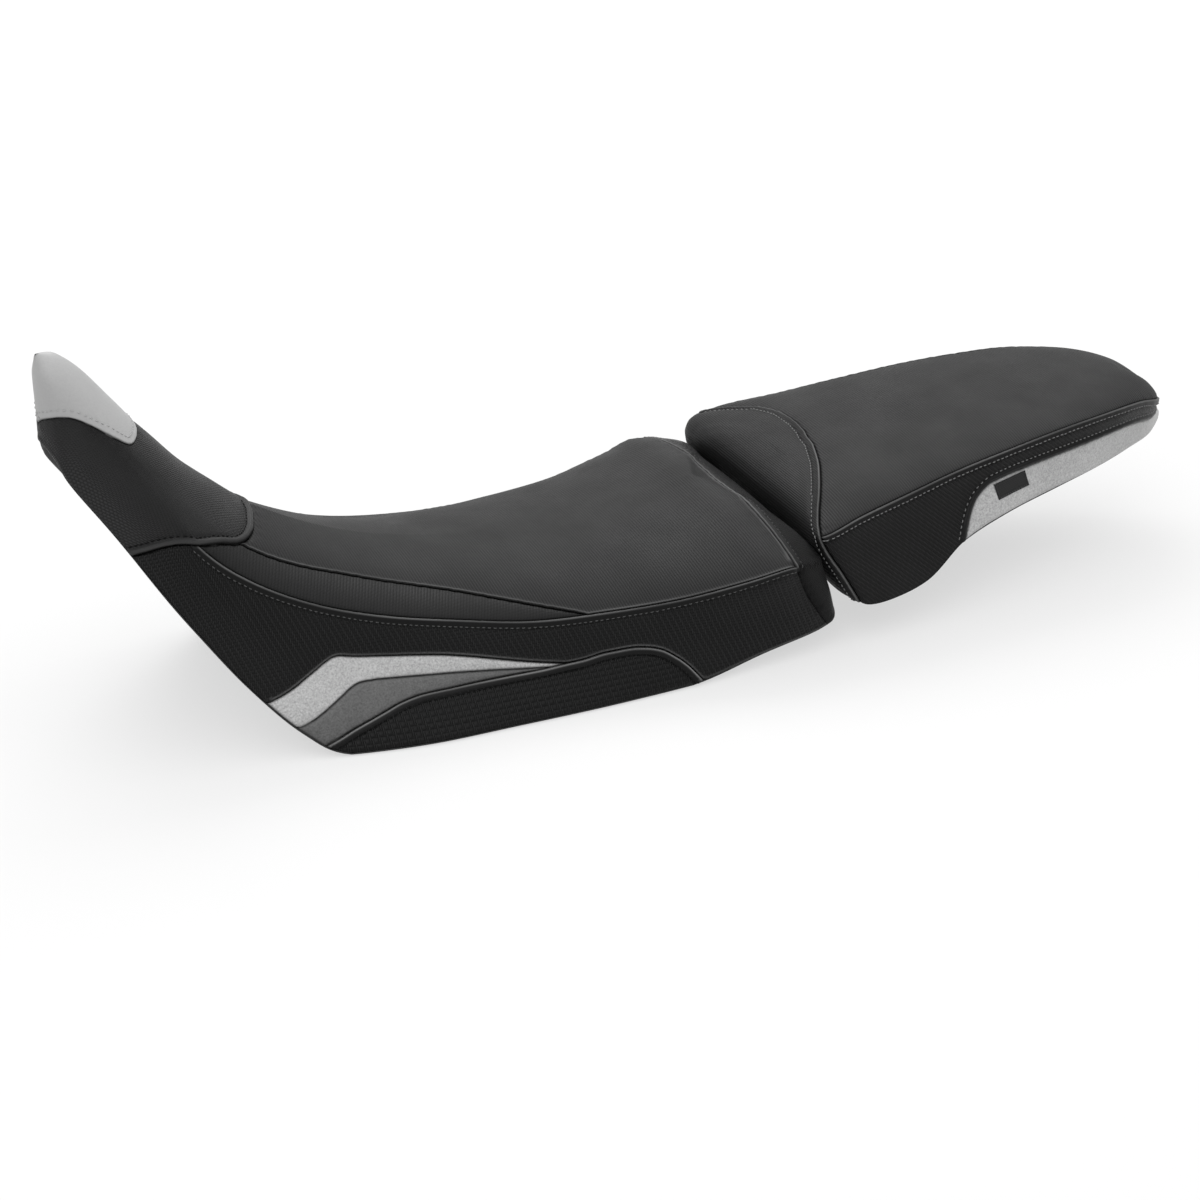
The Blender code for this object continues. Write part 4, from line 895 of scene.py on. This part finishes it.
class Panel:
    """Sewn panel of a cushion, laid out by a map from (along, across), both from 0 to 1, to station and share.

    edges gives the kind of sewn edge at start and end of along, and at low and high of across, and leaves out those
    where the panel carries on. part gives the stretch of an edge that is sewn. The weave follows the panel, or runs
    by the bike's axes on the side, the top, the front or the band.
    """

    def __init__(self, cushion, layout, edges, part=None, step=4.5, weave=None, crown=1.0):
        self.cushion = cushion
        self.layout = layout
        self.edges = edges
        self.part = part or {}
        self.weave = weave
        self.crown = crown
        self.lay_out(step)
        self.raise_surface()

    def lay_out(self, step):
        """Mesh lines along and across, with their places on the cushion."""
        dense = np.linspace(0, 1, ALONG_POINTS)
        lines = [self.cushion.cover(*self.layout(dense, np.full_like(dense, way))) for way in (0.0, 0.5, 1.0)]
        steps = np.max([np.linalg.norm(np.diff(line, axis=0), axis=1) for line in lines], axis=0)
        run = np.concatenate([[0.0], np.cumsum(steps)])
        at = ladder(run[-1:], self.edges.get("start"), self.edges.get("end"), step)[0]
        along = np.interp(at, run, dense)
        cross = np.linspace(0, 1, ACROSS_POINTS)
        grid = self.cushion.cover(*self.layout(np.repeat(along[None, :], len(cross), 0),
                                               np.repeat(cross[:, None], len(along), 1)))
        runs = run_of(grid)
        rows = ladder(runs[-1], self.edges.get("low"), self.edges.get("high"), step).T
        across = np.stack([np.interp(rows[:, j], runs[:, j], cross) for j in range(len(along))], axis=1)
        self.along = np.repeat(along[None, :], len(across), 0)
        self.across = across
        middle = runs[len(cross) // 2]
        self.cloth = np.stack([np.repeat(at[None, :], len(across), 0), middle - rows], axis=-1)
        lean, down_side = self.cushion.weave
        x, y, z = np.moveaxis(self.cushion.cover(*self.layout(self.along, self.across)), -1, 0)
        if self.weave == "side":
            self.cloth = np.stack([x, -z * down_side], axis=-1)
        elif self.weave == "top":
            self.cloth = np.stack([x + lean * z, y], axis=-1)
        elif self.weave == "front":
            self.cloth = np.stack([x + z, y], axis=-1)
        elif self.weave == "band":
            self.cloth = np.stack([x + BAND_LEAN * np.abs(y), z], axis=-1)

    def edge_line(self, which):
        """Dense line along one edge, on the cushion's plain surface."""
        low, high = self.part.get(which, (0.0, 1.0))
        way = np.linspace(low, high, EDGE_POINTS)
        fixed = np.full_like(way, 1.0 if which in ("end", "high") else 0.0)
        along, across = (fixed, way) if which in ("start", "end") else (way, fixed)
        return even_points(self.cushion.cover(*self.layout(along, across)), EDGE_STEP)

    def raise_surface(self):
        """Surface swollen between its seams, with welts, dips and puckers along them."""
        sizes = bpy.context.scene.seat_sizes
        station, share = self.layout(self.along, self.across)
        base = self.cushion.cover(station, share)
        normal = self.cushion.normal(station, share)
        flat = base.reshape(-1, 3)
        nearness = np.zeros(len(flat))
        height = np.zeros(len(flat))
        self.looks = {name: np.zeros(len(flat)) for name in ("lip", "welt", "groove")}
        for which, kind in self.edges.items():
            line = self.edge_line(which)
            if len(line) < 3:
                continue
            tree = tree_of(line)
            found = [tree.find(point) for point in flat]
            away = np.array([f[2] for f in found])
            run = np.array([f[1] for f in found]) * EDGE_STEP
            height += monotone(EDGES[kind], away)
            place, width, strength, welt, groove, shade = LOOKS[kind]
            on_welt = np.clip((welt - away) / WELT_SOFT + 0.5, 0, 1)
            # Painted highlight along the raised lip beside the seam
            self.look("lip", strength * np.exp(-((away - place) / width) ** 2) * (0.8 + 0.2 * np.sin(run / 23)))
            self.look("welt", on_welt)
            # Painted shade in the groove along the seam, and below it the welt's own darker tone kept in the same
            # layer
            self.look("groove", groove * np.exp(-(away / GROOVE_SHADE_WIDTH) ** 2))
            self.look("groove", shade * on_welt * np.clip((away - place - width) / SHADE_SOFT, 0, 1))
            if kind != "hem":
                short, long = (run * 2 * math.pi / wave for wave in PUCKER_WAVES)
                ripple = np.sin(short) + 0.6 * np.sin(long + 1.3)
                height += sizes.pucker / MM * np.exp(-(away / PUCKER_REACH) ** 2) * ripple
            nearness += 1.0 / np.maximum(away, 0.05) ** 2
        if nearness.any():
            distance = nearness ** -0.5
            swell = 1 - np.exp(-distance / (sizes.swell / MM)) - SEAM_DIP
            height += self.crown * sizes.crown / MM * swell
        height += slack(*flat.T)
        low = np.abs(share).ravel() > HEM_SHARE
        height[low] = np.maximum(height[low], HEM_LOWEST)
        self.points = base + normal * height.reshape(base.shape[:2])[..., None]
        self.normal = normal

    def look(self, name, value):
        self.looks[name] = np.maximum(self.looks[name], value)

    def make(self, name, node, finish):
        """Mesh object of the panel, with the cover's thickness, standing for its CAD node."""
        rows, columns, _ = self.points.shape
        shape = bmesh.new()
        shape.loops.layers.uv.new("cloth")
        for key in self.looks:
            shape.verts.layers.float.new(key)
        lines = [[shape.verts.new(point) for point in row] for row in in_frame(self.points)]
        for key, values in self.looks.items():
            layer = shape.verts.layers.float[key]
            for corner, value in zip(shape.verts, values):
                corner[layer] = value
        add_quads(shape, lines, places=self.cloth * MM)
        middle = rows // 2, columns // 2
        face_out(shape, middle[0] * (columns - 1) + middle[1], self.normal[middle])
        weld(shape, 0.00002, 0.00001)
        self.tree = BVHTree.FromBMesh(shape)
        piece = finished_object(name, shape, finish, self.cushion.body)
        thicken(piece, "Cover", bpy.context.scene.seat_sizes.cover)
        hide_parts(node)
        return piece

    def stitches(self, name, which, offset, finish="thread"):
        """Row of stitches beside one sewn edge."""
        sizes = bpy.context.scene.seat_sizes
        points = in_frame(even_points(self.edge_line(which), sizes.stitch_step / MM))
        grid = tree_of(in_frame(self.points.reshape(-1, 3)))
        normals = self.normal.reshape(-1, 3)
        seats = []
        for way in (1.0, -1.0):
            row = []
            for i, point in enumerate(points):
                ahead = heading(points, i)
                normal = Vector(normals[grid.find(point)[1]])
                aim = Vector(point) + way * offset * MM * ahead.cross(normal).normalized()
                place, lifted, _, away = self.tree.find_nearest(aim)
                row.append((away, place, lifted, ahead))
            seats.append(row)
        row = min(seats, key=lambda seat: sum(s[0] for s in seat))
        shape = bmesh.new()
        for away, place, lifted, ahead in row:
            if away < STITCH_MISS * offset * MM:
                add_stitch(shape, place, lifted, ahead, sizes.stitch, sizes.thread)
        return finished_object(name, shape, finish, self.cushion.body)


def add_stitch(shape, place, normal, ahead, length, thread):
    """One stitch: a short round thread that dives into the cover at both ends."""
    ahead = (ahead - normal * ahead.dot(normal)).normalized()
    side = normal.cross(ahead)
    rings = []
    for t in np.linspace(-1, 1, STITCH_RINGS):
        round_off = math.sqrt(max(0.05, 1 - t ** 4))
        middle = place + ahead * (t * length / 2) + normal * (thread * (0.25 - 0.55 * t * t))
        turns = [2 * math.pi * k / STITCH_SIDES for k in range(STITCH_SIDES)]
        rings.append([shape.verts.new(middle + (side * math.cos(a) + normal * math.sin(a)) * thread / 2 * round_off)
                      for a in turns])
    add_quads(shape, rings, True)
    shape.faces.new(list(reversed(rings[0])))
    shape.faces.new(rings[-1])


def finished_object(name, shape, finish, body):
    """Object of a finished bmesh, on its body and with its finish."""
    mesh = bpy.data.meshes.new(name)
    shape.to_mesh(mesh)
    shape.free()
    mesh.materials.append(finish_of(finish))
    piece = bpy.data.objects.new(name, mesh)
    bpy.context.scene.collection.objects.link(piece)
    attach(piece, body)
    return piece


def grid_object(name, rows, closed, finish, body):
    """Smooth object of rows of points, closed round the columns where asked."""
    shape = bmesh.new()
    lines = [[shape.verts.new(point) for point in in_frame(row)] for row in rows]
    add_quads(shape, lines, closed)
    weld(shape, 0.00003, 0.00002)
    bmesh.ops.recalc_face_normals(shape, faces=shape.faces[:])
    return finished_object(name, shape, finish, body)


def all_round(cushion, steps):
    """Stations all the way round a cushion, the end left open for a closed ring."""
    return np.linspace(0, 2 * cushion.last, steps * cushion.last, endpoint=False)


def foam_block(cushion, name, node):
    """Moulded foam between the covers and the pan."""
    station = all_round(cushion, FOAM_STEPS)
    rows = [cushion.below(station, share, FOAM_BACK) for share in np.linspace(0, FOAM_SHARES[0], FOAM_RINGS[0])]
    rows += [cushion.base.pan(station, share, -FOAM_GAP) for share in np.linspace(FOAM_SHARES[1], 0, FOAM_RINGS[1])]
    foam = grid_object(name, rows, True, "foam", cushion.body)
    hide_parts(node)


def turned_hem(cushion, name):
    """Cover turned in round the rim of the pan and stapled to its inner wall."""
    sizes = bpy.context.scene.seat_sizes
    station = all_round(cushion, HEM_STEPS)
    down = cushion.surface(station, 1.0) - cushion.surface(station, 0.97)
    down /= np.linalg.norm(down, axis=1, keepdims=True)
    rows = [cushion.below(station, 1.0, 2.2) + 0.2 * down, cushion.below(station, 1.0, 2.4) + 0.9 * down,
            cushion.below(station, *PAN_RIM) + HEM_DROP * down,
            cushion.base.pan(station, PAN_INNER_RIM, PAN_WALL) + HEM_DROP * down]
    rows += [cushion.base.pan(station, share, PAN_WALL + HEM_BACK) for share in HEM_SHARES]
    strip = grid_object(name, rows, True, "pan_cloth", cushion.body)
    thicken(strip, "Cover", sizes.hem, 0.0)
    wall = even_points(cushion.base.pan(station, STAPLE_SHARE, PAN_WALL + STAPLE_BACK), sizes.staple_step / MM)
    inner = cushion.core(station)
    shape = bmesh.new()
    for i, point in enumerate(wall):
        nearest = inner[np.argmin(np.linalg.norm(inner - point, axis=1))]
        normal = Vector(nearest - point).normalized()
        add_stitch(shape, Vector(in_frame(point)), normal, heading(wall, i), sizes.staple,
                   sizes.staple * STAPLE_WIRE)
    finished_object(name + "_staples", shape, "zinc_steel", cushion.body)


def rider_side(f, share):
    """Station at a place f between the nose seam and the rear corner."""
    front = seam_station(NOSE_SEAM, np.abs(share))
    return front + f * (REAR_CORNER - front)


def side_places(seam, front_of, last):
    """Seam given by stations, as places between the front of a side and its last station."""
    return [(float((s - front_of(r)) / (last - front_of(r))), r) for s, r in seam]


INSET, SILVER, GREY, KICK = (side_places(seam, lambda share: seam_station(NOSE_SEAM, share), REAR_CORNER)
                             for seam in (INSET_SEAM, SILVER_SEAM, GREY_SEAM, KICK_SEAM))


def inset_edge(f):
    return np.where(f <= INSET[-1][0], monotone(INSET, f), SHOULDER)


def kick_edge(f):
    return np.where((f < KICK[0][0]) | (f > KICK[-1][0]), 1.0, monotone(KICK, f))


def flash_edge(seam):
    """Upper edge of a flash, which meets the hem ahead of its seam and the kick panel behind it."""
    def edge(f):
        ahead = np.where(f < seam[0][0], 1.0, monotone(seam, f))
        return np.where(f > seam[-1][0], kick_edge(f), ahead)
    return edge


silver_edge, grey_edge = flash_edge(SILVER), flash_edge(GREY)


def shoulder_edge(f):
    return np.full_like(f, SHOULDER)


def hem_edge(f):
    return np.ones_like(f)


def strip(place, low, high, start, end, side):
    """Layout of a side panel between two curves of share, from start to end of the place along its cushion's side."""
    def layout(along, across):
        f = start + (end - start) * along
        share = side * (low(f) + (high(f) - low(f)) * across)
        return place(f, share), share
    return layout


def rider_nose_cap(along, across):
    share = NOSE_CAP_SEAM[-1][1] * (2 * across - 1)
    return seam_station(NOSE_CAP_SEAM, np.abs(share)) * along, share


def rider_nose_panel(along, across):
    share = 2 * across - 1
    front = np.where(np.abs(share) < NOSE_CAP_SEAM[-1][1], seam_station(NOSE_CAP_SEAM, np.abs(share)), 0.0)
    return front + (seam_station(NOSE_SEAM, np.abs(share)) - front) * along, share


def rear_edge(station):
    """Share of the rear seam, which crosses the top a little ahead of the rear edge."""
    return monotone(REAR_SEAM, np.minimum(station, 2 * RIDER.last - station))


def rider_seat_panel(along, across):
    tail = 0.08
    f = along * (1 + tail)
    past = REAR_CORNER + np.maximum(f - 1, 0.0) / tail * (RIDER.last - REAR_CORNER)
    share = (2 * across - 1) * np.where(f <= 1, inset_edge(np.minimum(f, 1.0)), rear_edge(past))
    return np.where(f <= 1, rider_side(np.minimum(f, 1.0), share), past), share


def rider_rear_panel(along, across):
    station = REAR_CORNER + along * 2 * (RIDER.last - REAR_CORNER)
    low = rear_edge(station)
    return station, low + (1 - low) * across


def passenger_side(f, share):
    front = front_panel_edge(share)
    return front + f * (PASSENGER.last - front)


def tail_silver_edge(way):
    """Upper edge of the silver panel on one side, by the place between the front panel's seam and the tail."""
    seam = side_places(PASSENGER_SILVER_SEAM, lambda share: front_panel_edge(way * share), PASSENGER.last)

    def edge(f):
        return np.where(f < seam[0][0], 1.0, monotone(seam, f))
    return edge, seam[0][0]


def passenger_front_panel(along, across):
    share = 2 * across - 1
    return front_panel_edge(share) * along, share


def passenger_seat_panel(along, across):
    share = SHOULDER * (2 * across - 1)
    return passenger_side(along, share), share


SIDES = (("left", -1), ("right", 1))


class SEAT_OT_rider_top(bpy.types.Operator):
    """Sew the nose cap, the nose panel, the top panel and the ribbed bands of the rider seat"""

    bl_idname = "seat.rider_top"
    bl_label = "Rider Top Covers"

    def execute(self, context):
        cap_share = NOSE_CAP_SEAM[-1][1]
        cap = Panel(RIDER, rider_nose_cap, {"end": "flush"}, step=3.5, crown=0.3)
        cap.make("nose_cap_cover", "rider_nose_cap", "light_grey_vinyl")
        cap.stitches("nose_cap_stitches", "end", 6.0, "cap_thread")
        nose = Panel(RIDER, rider_nose_panel, {"start": "flush", "end": "rolled", "low": "hem", "high": "hem"},
                     {"start": ((1 - cap_share) / 2, (1 + cap_share) / 2)}, step=4.0)
        nose.make("nose_cover", "rider_nose_panel", "nose_vinyl")
        nose.stitches("nose_welt_stitches", "end", 6.8, "dark_thread")
        top = Panel(RIDER, rider_seat_panel, {"start": "plain", "low": "lip", "high": "lip"}, weave="top")
        top.make("rider_top_cover", "rider_seat_panel", "top_vinyl")
        for side, way in SIDES:
            layout = strip(rider_side, inset_edge, shoulder_edge, 0.0, INSET[-1][0], way)
            band = Panel(RIDER, layout, {"start": "plain", "low": "plain", "high": "plain"}, step=4.0, weave="band")
            band.make("rider_band_" + side, "rider_inset_" + side, "band_vinyl")
        return {"FINISHED"}


class SEAT_OT_rider_sides(bpy.types.Operator):
    """Sew the flanks, the flashes, the kick panels and the rear skirt of the rider seat"""

    bl_idname = "seat.rider_sides"
    bl_label = "Rider Side Covers"

    def execute(self, context):
        for side, way in SIDES:
            layout = strip(rider_side, shoulder_edge, silver_edge, 0.0, 1.0, way)
            flank = Panel(RIDER, layout, {"start": "plain", "end": "hidden", "low": "felled", "high": "lip"},
                          {"high": (SILVER[0][0], 1.0)}, step=4.0, weave="side")
            flank.make("rider_flank_cover_" + side, "rider_flank_" + side, "black_vinyl")
            flank.stitches("rider_seam_stitches_" + side, "low", 7.2)
            for tint, low, high, seam in (("silver", silver_edge, grey_edge, SILVER),
                                          ("grey", grey_edge, kick_edge, GREY)):
                layout = strip(rider_side, low, high, seam[0][0], seam[-1][0], way)
                flash = Panel(RIDER, layout, {"low": "plain", "high": "plain"}, step=3.5)
                vinyl = tint + "_vinyl"
                flash.make(f"{tint}_flash_cover_{side}", f"rider_{tint}_flash_{side}", vinyl)
            layout = strip(rider_side, kick_edge, hem_edge, KICK[0][0], KICK[-1][0], way)
            kick = Panel(RIDER, layout, {"low": "bound", "high": "hem"}, step=4.0, weave="side")
            kick.make("kick_panel_cover_" + side, "rider_kick_panel_" + side, "kick_vinyl")
            kick.stitches("kick_stitches_" + side, "low", 6.6, "dark_thread")
        rear = Panel(RIDER, rider_rear_panel, {"start": "hidden", "end": "hidden", "low": "felled", "high": "hem"})
        rear.make("rider_rear_cover", "rider_rear_panel", "black_vinyl")
        rear.stitches("rider_rear_stitches", "low", 7.2)
        return {"FINISHED"}


class SEAT_OT_passenger_covers(bpy.types.Operator):
    """Sew the covers of the passenger seat"""

    bl_idname = "seat.passenger_covers"
    bl_label = "Passenger Covers"

    def execute(self, context):
        front = Panel(PASSENGER, passenger_front_panel, {"end": "felled", "low": "hem", "high": "hem"}, step=4.0,
                      weave="front")
        front.make("passenger_front_cover", "passenger_front_panel", "top_vinyl")
        front.stitches("passenger_front_stitches", "end", 7.4, "bright_thread")
        top = Panel(PASSENGER, passenger_seat_panel, {"start": "plain", "low": "plain", "high": "plain"}, weave="top")
        top.make("passenger_top_cover", "passenger_seat_panel", "top_vinyl")
        for side, way in SIDES:
            silver_edge_here, silver_start = tail_silver_edge(way)
            layout = strip(passenger_side, shoulder_edge, silver_edge_here, 0.0, 1.0, way)
            flank = Panel(PASSENGER, layout, {"start": "plain", "low": "felled", "high": "piped"},
                          {"high": (silver_start, 1.0)}, step=4.0, weave="side")
            flank.make("passenger_flank_cover_" + side, "passenger_flank_" + side, "black_vinyl")
            flank.stitches("passenger_seam_stitches_" + side, "low", 7.2, "bright_thread")
            flank.stitches("passenger_tail_stitches_" + side, "high", 7.0, "bright_thread")
            layout = strip(passenger_side, silver_edge_here, hem_edge, silver_start, 1.0, way)
            silver = Panel(PASSENGER, layout, {"low": "plain", "high": "hem"}, step=4.0)
            silver.make("passenger_silver_cover_" + side, "passenger_silver_" + side, "silver_vinyl")
            if side == "left":
                self.sew_tag((flank.tree, silver.tree))
        return {"FINISHED"}

    def sew_tag(self, trees):
        """Blank woven tag with a turned border and a row of stitches, flat on the covers under it"""
        middle, share = TAG_PLACE
        ahead = PASSENGER.surface(middle + 0.05, -share) - PASSENGER.surface(middle - 0.05, -share)
        down = PASSENGER.surface(middle, -share - 0.01) - PASSENGER.surface(middle, -share + 0.01)
        reach = TAG_SIZE[0] / np.linalg.norm(ahead) * 0.1, TAG_SIZE[1] / np.linalg.norm(down) * 0.02
        across, along = np.meshgrid(np.linspace(-0.5, 0.5, 31), np.linspace(-0.5, 0.5, 69), indexing="ij")
        station = middle + (along + TAG_LEAN * across * TAG_SIZE[1] / TAG_SIZE[0]) * reach[0]
        rows = -share - across * reach[1]
        base = in_frame(PASSENGER.surface(station, rows))
        normal = PASSENGER.normal(station, rows)
        lift = 0.0
        for point, way in zip(base.reshape(-1, 3), normal.reshape(-1, 3)):
            start = Vector(point) + TAG_PROBE * Vector(way)
            reached = [tree.ray_cast(start, -Vector(way), 2 * TAG_PROBE)[3] for tree in trees]
            lift = max(lift, *(TAG_PROBE - away for away in reached if away is not None))
        inside = np.minimum((0.5 - np.abs(along)) * TAG_SIZE[0], (0.5 - np.abs(across)) * TAG_SIZE[1])
        border = monotone(((0.0, 0.2), (0.4, 0.7), (TAG_BORDER, 0.75), (TAG_BORDER + 0.6, 0.35), (3.5, 0.4)), inside)
        shape = bmesh.new()
        shape.loops.layers.uv.new("cloth")
        points = base + normal * (lift + border * MM)[..., None]
        places = np.stack([along, across], axis=-1) * TAG_SIZE * MM
        add_quads(shape, [[shape.verts.new(point) for point in row] for row in points], places=places)
        face_out(shape, 0, normal[0, 0])
        tag = finished_object("side_tag", shape, "tag_fabric", "passenger_seat")
        thicken(tag, "Ribbon", TAG_THICKNESS)
        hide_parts("passenger_tag")
        row, out = points[TAG_STITCH_ROW], normal[TAG_STITCH_ROW]
        sewing = bmesh.new()
        for k in TAG_STITCHES:
            add_stitch(sewing, Vector(row[k]), Vector(out[k]), heading(row, k), TAG_STITCH, TAG_THREAD)
        finished_object("side_tag_stitches", sewing, "thread", "passenger_seat")


class SEAT_OT_fittings(bpy.types.Operator):
    """Give the pans, bumpers, steel fittings and the tag their finishes"""

    bl_idname = "seat.fittings"
    bl_label = "Pans and Fittings"

    def execute(self, context):
        foam_block(RIDER, "rider_foam_block", "rider_foam")
        foam_block(PASSENGER, "passenger_foam_block", "passenger_foam")
        turned_hem(RIDER, "rider_hem")
        turned_hem(PASSENGER, "passenger_hem")
        slots = {part["node"]: part["material_slot"] for part in frame["record"]["subparts"]}
        for name, node in frame["nodes"].items():
            if slots[name] in ("foam", "pan_plastic", "rubber", "zinc_steel", "tag_fabric"):
                node.data.materials.clear()
                node.data.materials.append(finish_of(slots[name]))
        return {"FINISHED"}


class SEAT_OT_studio(bpy.types.Operator):
    """Lay the pale floor, hang the soft lamps and set the camera"""

    bl_idname = "seat.studio"
    bl_label = "Studio"

    def execute(self, context):
        studio = context.scene.seat_studio
        self.lay_floor(studio)
        self.light(studio)
        self.set_camera(context)
        context.scene.view_settings.view_transform = "Standard"
        return {"FINISHED"}

    def lay_floor(self, studio):
        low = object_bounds()[0][2] - 0.0005
        mesh = bpy.data.meshes.new("studio_floor")
        reach = 12.0
        mesh.from_pydata([(-reach, -reach, low), (reach, -reach, low), (reach, reach, low), (-reach, reach, low)], [],
                         [(0, 1, 2, 3)])
        floor = bpy.data.objects.new("studio_floor", mesh)
        bpy.context.scene.collection.objects.link(floor)
        paper = Finish("floor_paper", studio.floor, 0.9)
        paper.tinted(paper.noise(0.6), 0.995, 1.0)
        path = paper.node("ShaderNodeLightPath")
        seen = paper.math("MAXIMUM", path.outputs["Is Camera Ray"], path.outputs["Is Glossy Ray"])
        seen = paper.math("MAXIMUM", seen, path.outputs["Is Transmission Ray"])
        glow = paper.node("ShaderNodeEmission")
        glow.inputs["Strength"].default_value = 1.0
        mix = paper.node("ShaderNodeMixShader")
        for socket, value in zip(mix.inputs, (seen * studio.paper, paper.shader.outputs[0], glow.outputs[0])):
            paper.join(socket, value)
        paper.join(paper.nodes["Material Output"].inputs["Surface"], mix.outputs[0])
        mesh.materials.append(paper.material)
        floor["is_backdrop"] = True

    def light(self, studio):
        lamps = (
            ("key", studio.key, (0.0, 0.4, 2.6), (0.0, 0.4, 0.0), 8.0, 8.0),
            ("front", studio.front, (-1.3, -1.8, 2.2), (0.0, 0.0, 0.1), 1.6, 1.6),
            ("rim", studio.rim, (0.3, 2.0, 2.6), (0.0, 0.0, 0.1), 2.4, 1.6),
        )
        for name, power, place, aim, width, depth in lamps:
            data = bpy.data.lights.new("studio_" + name, "AREA")
            data.shape = "RECTANGLE"
            data.size, data.size_y = width, depth
            data.energy = power
            lamp = bpy.data.objects.new("studio_" + name, data)
            lamp.location = place
            lamp.rotation_euler = (Vector(aim) - Vector(place)).to_track_quat("-Z", "Y").to_euler()
            bpy.context.scene.collection.objects.link(lamp)
        world = bpy.data.worlds.new("studio_room")
        world.use_nodes = True
        bpy.context.scene.world = world
        nodes, links = world.node_tree.nodes, world.node_tree.links
        back = nodes["Background"]
        path = nodes.new("ShaderNodeLightPath")
        strength = nodes.new("ShaderNodeMapRange")
        strength.inputs["To Min"].default_value = studio.ambient
        strength.inputs["To Max"].default_value = 1.0
        links.new(path.outputs["Is Camera Ray"], strength.inputs["Value"])
        links.new(strength.outputs[0], back.inputs["Strength"])
        back.inputs["Color"].default_value = (1.0, 1.0, 1.0, 1.0)

    def set_camera(self, context):
        data = bpy.data.cameras.new("photo_camera")
        data.sensor_width = 36.0
        data.lens = CAMERA_LENS
        data.clip_end = 50.0
        camera = bpy.data.objects.new("photo_camera", data)
        camera.location = in_frame(CAMERA_AT)
        turn = Matrix.Rotation(math.radians(CAMERA_AZIMUTH), 4, "Z")
        tilt = Matrix.Rotation(math.radians(90.0 - CAMERA_ELEVATION), 4, "X")
        camera.rotation_euler = (turn @ tilt).to_euler()
        context.scene.collection.objects.link(camera)
        context.scene.camera = camera


class SEAT_PT_panel(bpy.types.Panel):
    bl_idname = "SEAT_PT_panel"
    bl_label = "Touring Seat"
    bl_space_type = "VIEW_3D"
    bl_region_type = "UI"
    bl_category = "Touring Seat"

    def draw(self, context):
        for group in (context.scene.seat_sizes, context.scene.seat_colours, context.scene.seat_studio):
            box = self.layout.box()
            for key in group.__annotations__:
                box.prop(group, key)
        for operator in OPERATORS:
            self.layout.operator(operator.bl_idname)


OPERATORS = (SEAT_OT_rider_top, SEAT_OT_rider_sides, SEAT_OT_passenger_covers, SEAT_OT_fittings, SEAT_OT_studio)
GROUPS = {"seat_sizes": SeatSizes, "seat_colours": SeatColours, "seat_studio": SeatStudio}


def register():
    for cls in (*GROUPS.values(), *OPERATORS, SEAT_PT_panel):
        bpy.utils.register_class(cls)
    for name, group in GROUPS.items():
        setattr(bpy.types.Scene, name, PointerProperty(type=group))


def unregister():
    for name in GROUPS:
        delattr(bpy.types.Scene, name)
    for cls in (SEAT_PT_panel, *reversed(OPERATORS), *reversed(GROUPS.values())):
        bpy.utils.unregister_class(cls)


def main():
    register()
    bpy.ops.seat.rider_top()
    bpy.ops.seat.rider_sides()
    bpy.ops.seat.passenger_covers()
    bpy.ops.seat.fittings()
    bpy.ops.seat.studio()


if __name__ == "__main__":
    main()
